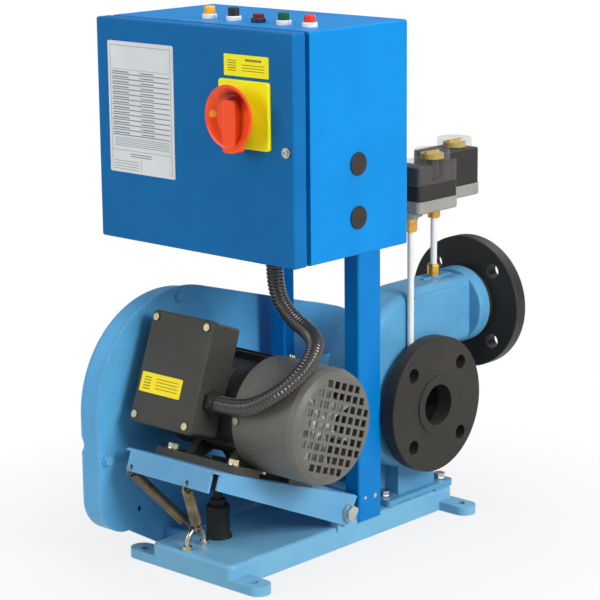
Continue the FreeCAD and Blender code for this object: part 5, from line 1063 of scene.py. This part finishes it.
@dataclass
class FlexibleConduit:
    """Corrugated conduit from the motor's box to the cabinet floor."""

    diameter: float = 0.0200
    length: float = 0.2987
    pitch: float = 0.0042
    groove: float = 0.0013
    rings_per_pitch: int = 6
    sides: int = 28
    bend_start: Point = (0.065, -0.183, 0.2065)
    bend_end: Point = (0.039, -0.094, 0.345)
    route: tuple[Point, ...] = (
        (0.0350, -0.18264, 0.20651), (0.0650, -0.18264, 0.20651), (0.0967, -0.1830, 0.2170),
        (0.1215, -0.1680, 0.2355), (0.1300, -0.1420, 0.2560), (0.1195, -0.1140, 0.2725),
        (0.0941, -0.0935, 0.2797), (0.0610, -0.0906, 0.2914), (0.0390, -0.0940, 0.3188),
        (0.0390, -0.0940, 0.3540))

    def centre_line(self) -> list[Vector]:
        """Read the points of the route's NURBS line.

        Returns:
            Points along the line, in metres.
        """
        data = bpy.data.curves.new("conduit_line", "CURVE")
        data.dimensions = "3D"
        data.resolution_u = 24
        spline = data.splines.new("NURBS")
        spline.points.add(len(self.route) - 1)
        for point, place in zip(spline.points, self.route):
            point.co = (*place, 1.0)
        spline.order_u = 3
        spline.use_endpoint_u = True
        line = bpy.data.objects.new("conduit_line", data)
        bpy.context.scene.collection.objects.link(line)
        bpy.context.view_layer.update()
        graph = bpy.context.evaluated_depsgraph_get()
        mesh = bpy.data.meshes.new_from_object(line.evaluated_get(graph))
        points = [vert.co.copy() for vert in mesh.vertices]
        bpy.data.objects.remove(line)
        bpy.data.meshes.remove(mesh)
        return points

    def _sweep(self, points: list[Vector]) -> Mesh:
        """Sweep the corrugated wall along the line.

        Args:
            points: Points along the line.

        Returns:
            The closed tube.
        """
        lengths = [0.0]
        for before, after in zip(points, points[1:]):
            lengths.append(lengths[-1] + (after - before).length)
        count = round(lengths[-1] / self.pitch) * self.rings_per_pitch
        mesh = bmesh.new()
        heading = (points[1] - points[0]).normalized()
        frame = heading.to_track_quat("Z", "Y").to_matrix()
        spot = 0
        rims = []
        for index in range(count + 1):
            reach = lengths[-1] * index / count
            while spot < len(lengths) - 2 and lengths[spot + 1] < reach:
                spot += 1
            share = (reach - lengths[spot]) / (lengths[spot + 1] - lengths[spot])
            place = points[spot].lerp(points[spot + 1], min(share, 1.0))
            before = points[max(spot - 1, 0)]
            after = points[min(spot + 2, len(points) - 1)]
            turned = (after - before).normalized()
            frame = heading.rotation_difference(turned).to_matrix() @ frame
            heading = turned
            wave = (1 + math.cos(FULL_TURN * index / self.rings_per_pitch)) / 2
            radius = self.diameter / 2 - self.groove * (1 - wave ** 0.6)
            made = bmesh.ops.create_circle(mesh, segments=self.sides, radius=radius,
                                           matrix=Matrix.Translation(place) @ frame.to_4x4())
            rim = list({edge for vert in made["verts"] for edge in vert.link_edges})
            if rims:
                bmesh.ops.bridge_loops(mesh, edges=rims[-1] + rim)
            rims.append(rim)
        for rim in (rims[0], rims[-1]):
            bmesh.ops.contextual_create(mesh, geom=rim)
        return mesh

    def build(self, shop: PaintShop) -> None:
        """Make the conduit.

        Args:
            shop: The finishes.
        """
        points = self.centre_line()
        piece = finish_piece(self._sweep(points), "flexible_conduit", "")
        shop.coat(piece, Paint.CONDUIT, "rubber_black")
        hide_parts("conduit")
        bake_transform(piece)


@dataclass
class TensionSpring:
    """Close-wound steel spring with a ring at each end."""

    name: str
    node: str
    low: Point
    high: Point
    radius: float = 0.0065
    wire: float = 0.0010
    ring: float = 0.0055
    neck: float = 0.0145
    pitch: float = 0.00225
    steps: int = 22
    sides: int = 10

    def build(self, shop: PaintShop) -> None:
        """Wind the coil and add its rings.

        Args:
            shop: The finishes.
        """
        mesh = bmesh.new()
        low, high = Vector(self.low), Vector(self.high)
        axis = high - low
        body = axis.length - self.neck - self.ring
        turns = round(body / self.pitch)
        coil = self.radius - self.wire
        made = bmesh.ops.create_circle(mesh, cap_ends=True, segments=self.sides, radius=self.wire,
                                       matrix=Matrix.Translation((coil, 0, 0)) @ Axis.X.quarter_turn())
        around = made["verts"] + list({part for vert in made["verts"] for part in
                                       (*vert.link_edges, *vert.link_faces)})
        bmesh.ops.spin(mesh, geom=around, cent=(0, 0, 0), axis=Axis.Z.unit(), angle=FULL_TURN * turns,
                       dvec=(0, 0, body / (turns * self.steps)), steps=turns * self.steps,
                       use_duplicate=False)
        bmesh.ops.translate(mesh, verts=mesh.verts, vec=(0, 0, self.neck))
        self._wire(mesh, Vector((0, 0, self.ring)), Vector((0, 0, self.neck)))
        for height in (self.neck, self.neck + body):
            self._wire(mesh, Vector((-self.wire, 0, height)), Vector((coil, 0, height)))
        turn = axis.to_track_quat("Z", "Y").to_matrix().to_4x4()
        bmesh.ops.transform(mesh, matrix=Matrix.Translation(low) @ turn, verts=mesh.verts)
        self._loop(mesh, low, Axis.Y)
        self._loop(mesh, high, Axis.X)
        piece = finish_piece(mesh, self.name, "")
        shop.coat(piece, Paint.SPRING, "galvanised")
        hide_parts(self.node)
        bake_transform(piece)

    def _wire(self, mesh: Mesh, start: Vector, end: Vector) -> None:
        """Add one straight piece of wire with closed ends.

        Args:
            mesh: The spring's bmesh.
            start: Middle of the first end.
            end: Middle of the other end.
        """
        run = end - start
        turn = run.to_track_quat("Z", "Y").to_matrix().to_4x4()
        bmesh.ops.create_cone(mesh, cap_ends=True, segments=self.sides, radius1=self.wire, radius2=self.wire,
                              depth=run.length, matrix=Matrix.Translation((start + end) / 2) @ turn)

    def _loop(self, mesh: Mesh, centre: Vector, axis: Axis) -> None:
        """Add one round end ring.

        Args:
            mesh: The spring's bmesh.
            centre: Middle of the ring.
            axis: Axis that the ring goes round.
        """
        start = Matrix.Translation(centre + Vector((0, 0, self.ring)))
        made = bmesh.ops.create_circle(mesh, segments=self.sides, radius=self.wire,
                                       matrix=start @ axis.quarter_turn())
        around = made["verts"] + list({edge for vert in made["verts"] for edge in vert.link_edges})
        bmesh.ops.spin(mesh, geom=around, cent=centre, axis=axis.unit(), angle=FULL_TURN, steps=self.steps,
                       use_merge=True, use_duplicate=False)


@dataclass
class DriveBelt:
    """Flat belt round both pulleys.

    Attributes:
        motor: The motor pulley's Y and Z, and the radius of the belt's inner face there.
        blower: The same of the blower pulley.
    """

    middle_x: float = -0.1110
    width: float = 0.0150
    thick: float = 0.0030
    soft: float = 0.0007
    sharp: float = 1.0
    motor: Point = (-0.108484, 0.182180, 0.10035)
    blower: Point = (0.1320, 0.1490, 0.05635)
    bend_start: Point = (-0.1110, 0.142, 0.1476)
    bend_end: Point = (-0.1110, -0.0906, 0.1797)
    arc_steps: int = 56
    run_steps: int = 28

    def line(self, lift: float) -> list[Vector]:
        """Lay a line round both pulleys.

        Args:
            lift: Height over the belt's inner face.

        Returns:
            Its points as Y and Z, in metres.
        """
        run = Vector(self.blower[:2]) - Vector(self.motor[:2])
        heading = math.atan2(run.y, run.x)
        touch = math.acos((self.motor[2] - self.blower[2]) / run.length)
        arcs = []
        for (y, z, radius), start, end in ((self.motor, touch, FULL_TURN - touch),
                                           (self.blower, -touch, touch)):
            angles = [heading + start + (end - start) * step / self.arc_steps
                      for step in range(self.arc_steps + 1)]
            middle = Vector((y, z))
            arcs.append([middle + (radius + lift) * Vector((math.cos(a), math.sin(a))) for a in angles])
        points = []
        for arc, after in zip(arcs, reversed(arcs)):
            points += arc
            points += [arc[-1].lerp(after[0], step / self.run_steps) for step in range(1, self.run_steps)]
        return points

    def build(self, shop: PaintShop) -> None:
        """Make the belt as a ring with soft edges.

        Args:
            shop: The finishes.
        """
        mesh = bmesh.new()
        side = self.middle_x - self.width / 2
        inner, outer = ([mesh.verts.new((side, *point)) for point in self.line(lift)]
                        for lift in (0.0, self.thick))
        strip = [mesh.faces.new((inner[i - 1], inner[i], outer[i], outer[i - 1])) for i in range(len(inner))]
        thicken(mesh, strip, self.width)
        soften(mesh, [edge for edge in mesh.edges if edge.calc_face_angle(0.0) > self.sharp], self.soft)
        piece = finish_piece(mesh, "flat_belt", "")
        shop.coat(piece, Paint.BELT, "belt")
        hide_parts("drive_belt")
        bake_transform(piece)


@dataclass
class DoorPlates:
    """Rating plate and small label on the cabinet door, with printed bars in place of words.

    Attributes:
        rating: The rating plate's ends in X and in Z, and the radius of its corners.
        label: The same of the small label.
    """

    face_y: float = -0.18110
    thick: float = 0.0006
    rating: tuple[float, ...] = (-0.131, -0.027, 0.4515, 0.599, 0.002)
    label: tuple[float, ...] = (0.051, 0.116, 0.574, 0.597, 0.001)

    def build(self, shop: PaintShop) -> None:
        """Make both plates.

        Args:
            shop: The finishes.
        """
        for name, box, paint in (("rating_plate", self.rating, Paint.NAME_PLATE),
                                 ("door_label", self.label, Paint.DOOR_LABEL)):
            x0, x1, z0, z1, corner = box
            mesh = bmesh.new()
            add_plate(mesh, (x0, self.face_y - self.thick, z0), (x1, self.face_y, z1), corner, Axis.Y)
            piece = finish_piece(mesh, name, "door_leaf", smooth=False)
            shop.coat(piece, paint, "plate_metal")
            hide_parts("door_plates")


@dataclass
class LidLabel:
    """Yellow plate on the motor's terminal lid, with printed bars in place of words.

    Attributes:
        pivot: Point that the platform leans about.
        lean: Lean of the platform in degrees.
        low: Lower end in X and in Z, as seen from the pivot on a level platform.
        high: Upper end in the same way.
    """

    pivot: Point = (0.0, -0.0083, 0.0443)
    lean: float = -20.0
    face_y: float = -0.2433
    thick: float = 0.0004
    corner: float = 0.001
    low: tuple[float, float] = (-0.0675, 0.0873)
    high: tuple[float, float] = (-0.0035, 0.1098)

    def build(self, shop: PaintShop) -> None:
        """Make the plate level and lean it with the platform.

        Args:
            shop: The finishes.
        """
        mesh = bmesh.new()
        add_plate(mesh, (self.low[0], self.face_y - self.thick, self.low[1]),
                  (self.high[0], self.face_y, self.high[1]), self.corner, Axis.Y)
        lean = Matrix.Translation(self.pivot) @ Matrix.Rotation(math.radians(self.lean), 4, "X")
        bmesh.ops.transform(mesh, matrix=lean, verts=mesh.verts)
        piece = finish_piece(mesh, "lid_label", "platform", smooth=False)
        shop.coat(piece, Paint.LID_LABEL, "plate_metal")


@dataclass
class GuardSkirt:
    """Flat sheet that closes the guard's back down to the base, held off the base by two screwed spacers.

    Attributes:
        outline: Corners of the sheet as Y and Z.
        spots: Middles of the spacers as Y and Z.
    """

    outer_x: float = -0.0970
    inner_x: float = -0.0940
    base_x: float = -0.0650
    outline: tuple[tuple[float, float], ...] = (
        (-0.2040, 0.0360), (-0.1680, 0.0150), (-0.1530, 0.0060), (0.1374, 0.0060), (0.1374, 0.0561))
    spots: tuple[tuple[float, float], ...] = ((-0.1410, 0.0165), (0.1180, 0.0165))
    soft: float = 0.0006
    spacer_radius: float = 0.0080
    spacer_sides: int = 32
    screw_radius: float = 0.0055
    screw_height: float = 0.0042
    screw_sides: int = 6

    def build(self, shop: PaintShop) -> None:
        """Cut the sheet and set the spacers and screws.

        Args:
            shop: The finishes.
        """
        sheet = finish_piece(self._sheet(), "guard_skirt", "frame", smooth=False)
        shop.coat(sheet, Paint.SHEET_BLUE, "base_paint")
        mesh = self._drums(self.inner_x, self.base_x, self.spacer_radius, self.spacer_sides)
        spacers = finish_piece(mesh, "guard_spacers", "frame", smooth=False)
        shop.coat(spacers, Paint.SHEET_BLUE, "base_paint")
        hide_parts("guard_brackets")
        mesh = self._drums(self.outer_x - self.screw_height, self.outer_x, self.screw_radius,
                           self.screw_sides)
        heads = finish_piece(mesh, "spacer_screws", "frame", smooth=False)
        shop.coat(heads, Paint.SCREW, "bright_steel")

    def _sheet(self) -> Mesh:
        """Cut the sheet and soften the long edges of its free lower rim.

        Returns:
            The sheet.
        """
        mesh = bmesh.new()
        rim = [mesh.verts.new((self.outer_x, y, z)) for y, z in self.outline]
        thicken(mesh, [mesh.faces.new(rim)], self.inner_x - self.outer_x)
        bottom = min(z for _, z in self.outline)
        low = [edge for edge in mesh.edges if all(vert.co.z < bottom + 1e-4 for vert in edge.verts)]
        soften(mesh, [edge for edge in low if abs(edge.verts[0].co.y - edge.verts[1].co.y) > 0.01], self.soft)
        return mesh

    def _drums(self, start: float, end: float, radius: float, sides: int) -> Mesh:
        """Make one drum at each spot, along X.

        Args:
            start: Lower end in X.
            end: Upper end in X.
            radius: Radius of the drum.
            sides: Number of its sides.

        Returns:
            The drums as one bmesh.
        """
        mesh = bmesh.new()
        for y, z in self.spots:
            place = Matrix.Translation(((start + end) / 2, y, z)) @ Axis.Y.quarter_turn()
            add_drum(mesh, place, radius, end - start, sides, self.soft)
        return mesh


@dataclass(frozen=True)
class SwitchPlace:
    """Where one pressure switch stands and what its cover is made of.

    Attributes:
        name: Front or rear.
        x: Middle in X.
        y: Middle in Y.
        paint: Finish of the cover.
        slot: The record's material slot of the cover.
    """

    name: str
    x: float
    y: float
    paint: Paint
    slot: str


@dataclass
class SwitchCovers:
    """Covers of the two pressure switches: clear in front, black behind, each with a clear dial window."""

    switches: tuple[SwitchPlace, ...] = (
        SwitchPlace("front", 0.069, 0.132, Paint.CLEAR, "clear_cover"),
        SwitchPlace("rear", 0.035, 0.217, Paint.BLACK_PLASTIC, "black_plastic"))
    half_width: float = 0.0240
    half_length: float = 0.0360
    bottom: float = 0.4190
    top: float = 0.4430
    corner: float = 0.006
    rim: float = 0.0016
    dial_shift: float = 0.0160
    window_radius: float = 0.0215
    window_height: float = 0.0125
    window_rim: float = 0.0018
    window_sides: int = 48

    def build(self, shop: PaintShop) -> None:
        """Make both covers and both windows.

        Args:
            shop: The finishes.
        """
        for switch in self.switches:
            cover = finish_piece(self._cover(switch), f"switch_cover_{switch.name}", "frame", smooth=False)
            shop.coat(cover, switch.paint, switch.slot)
            window = finish_piece(self._window(switch), f"dial_window_{switch.name}", "frame", smooth=False)
            shop.coat(window, Paint.CLEAR, "clear_cover")
            for piece in (cover, window):
                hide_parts("switch_covers")

    def _cover(self, switch: SwitchPlace) -> Mesh:
        """Make one cover with round corners and a softened upper rim.

        Args:
            switch: Where it stands.

        Returns:
            The cover.
        """
        mesh = bmesh.new()
        add_plate(mesh, (switch.x - self.half_width, switch.y - self.half_length, self.bottom),
                  (switch.x + self.half_width, switch.y + self.half_length, self.top), self.corner, Axis.Z)
        rim = [edge for edge in mesh.edges if all(vert.co.z > self.top - 1e-5 for vert in edge.verts)]
        soften(mesh, rim, self.rim, 3)
        return mesh

    def _window(self, switch: SwitchPlace) -> Mesh:
        """Make one round window over the dial.

        Args:
            switch: Where it stands.

        Returns:
            The window.
        """
        mesh = bmesh.new()
        place = Matrix.Translation((switch.x, switch.y + self.dial_shift, self.top + self.window_height / 2))
        add_drum(mesh, place, self.window_radius, self.window_height, self.window_sides, self.window_rim)
        return mesh


def main() -> None:
    """Build the studio, dress the frame and add the new pieces."""
    logging.basicConfig(level=logging.INFO, format="%(message)s")
    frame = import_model()
    Studio().build()
    shop = PaintShop()
    shop.coat_nodes(frame["nodes"])
    right = TensionSpring("spring_coil_right", "spring_right", (-0.012, -0.1735, 0.04952),
                          (0.031, -0.231436, 0.121258))
    left = TensionSpring("spring_coil_left", "spring_left", (-0.012, -0.1805, 0.04952),
                         (-0.058, -0.231436, 0.121258))
    for part in (FlexibleConduit(), right, left, DriveBelt(), DoorPlates(), LidLabel(), GuardSkirt(),
                 SwitchCovers()):
        part.build(shop)
        LOG.info("built %s", type(part).__name__)


if __name__ == "__main__":
    main()
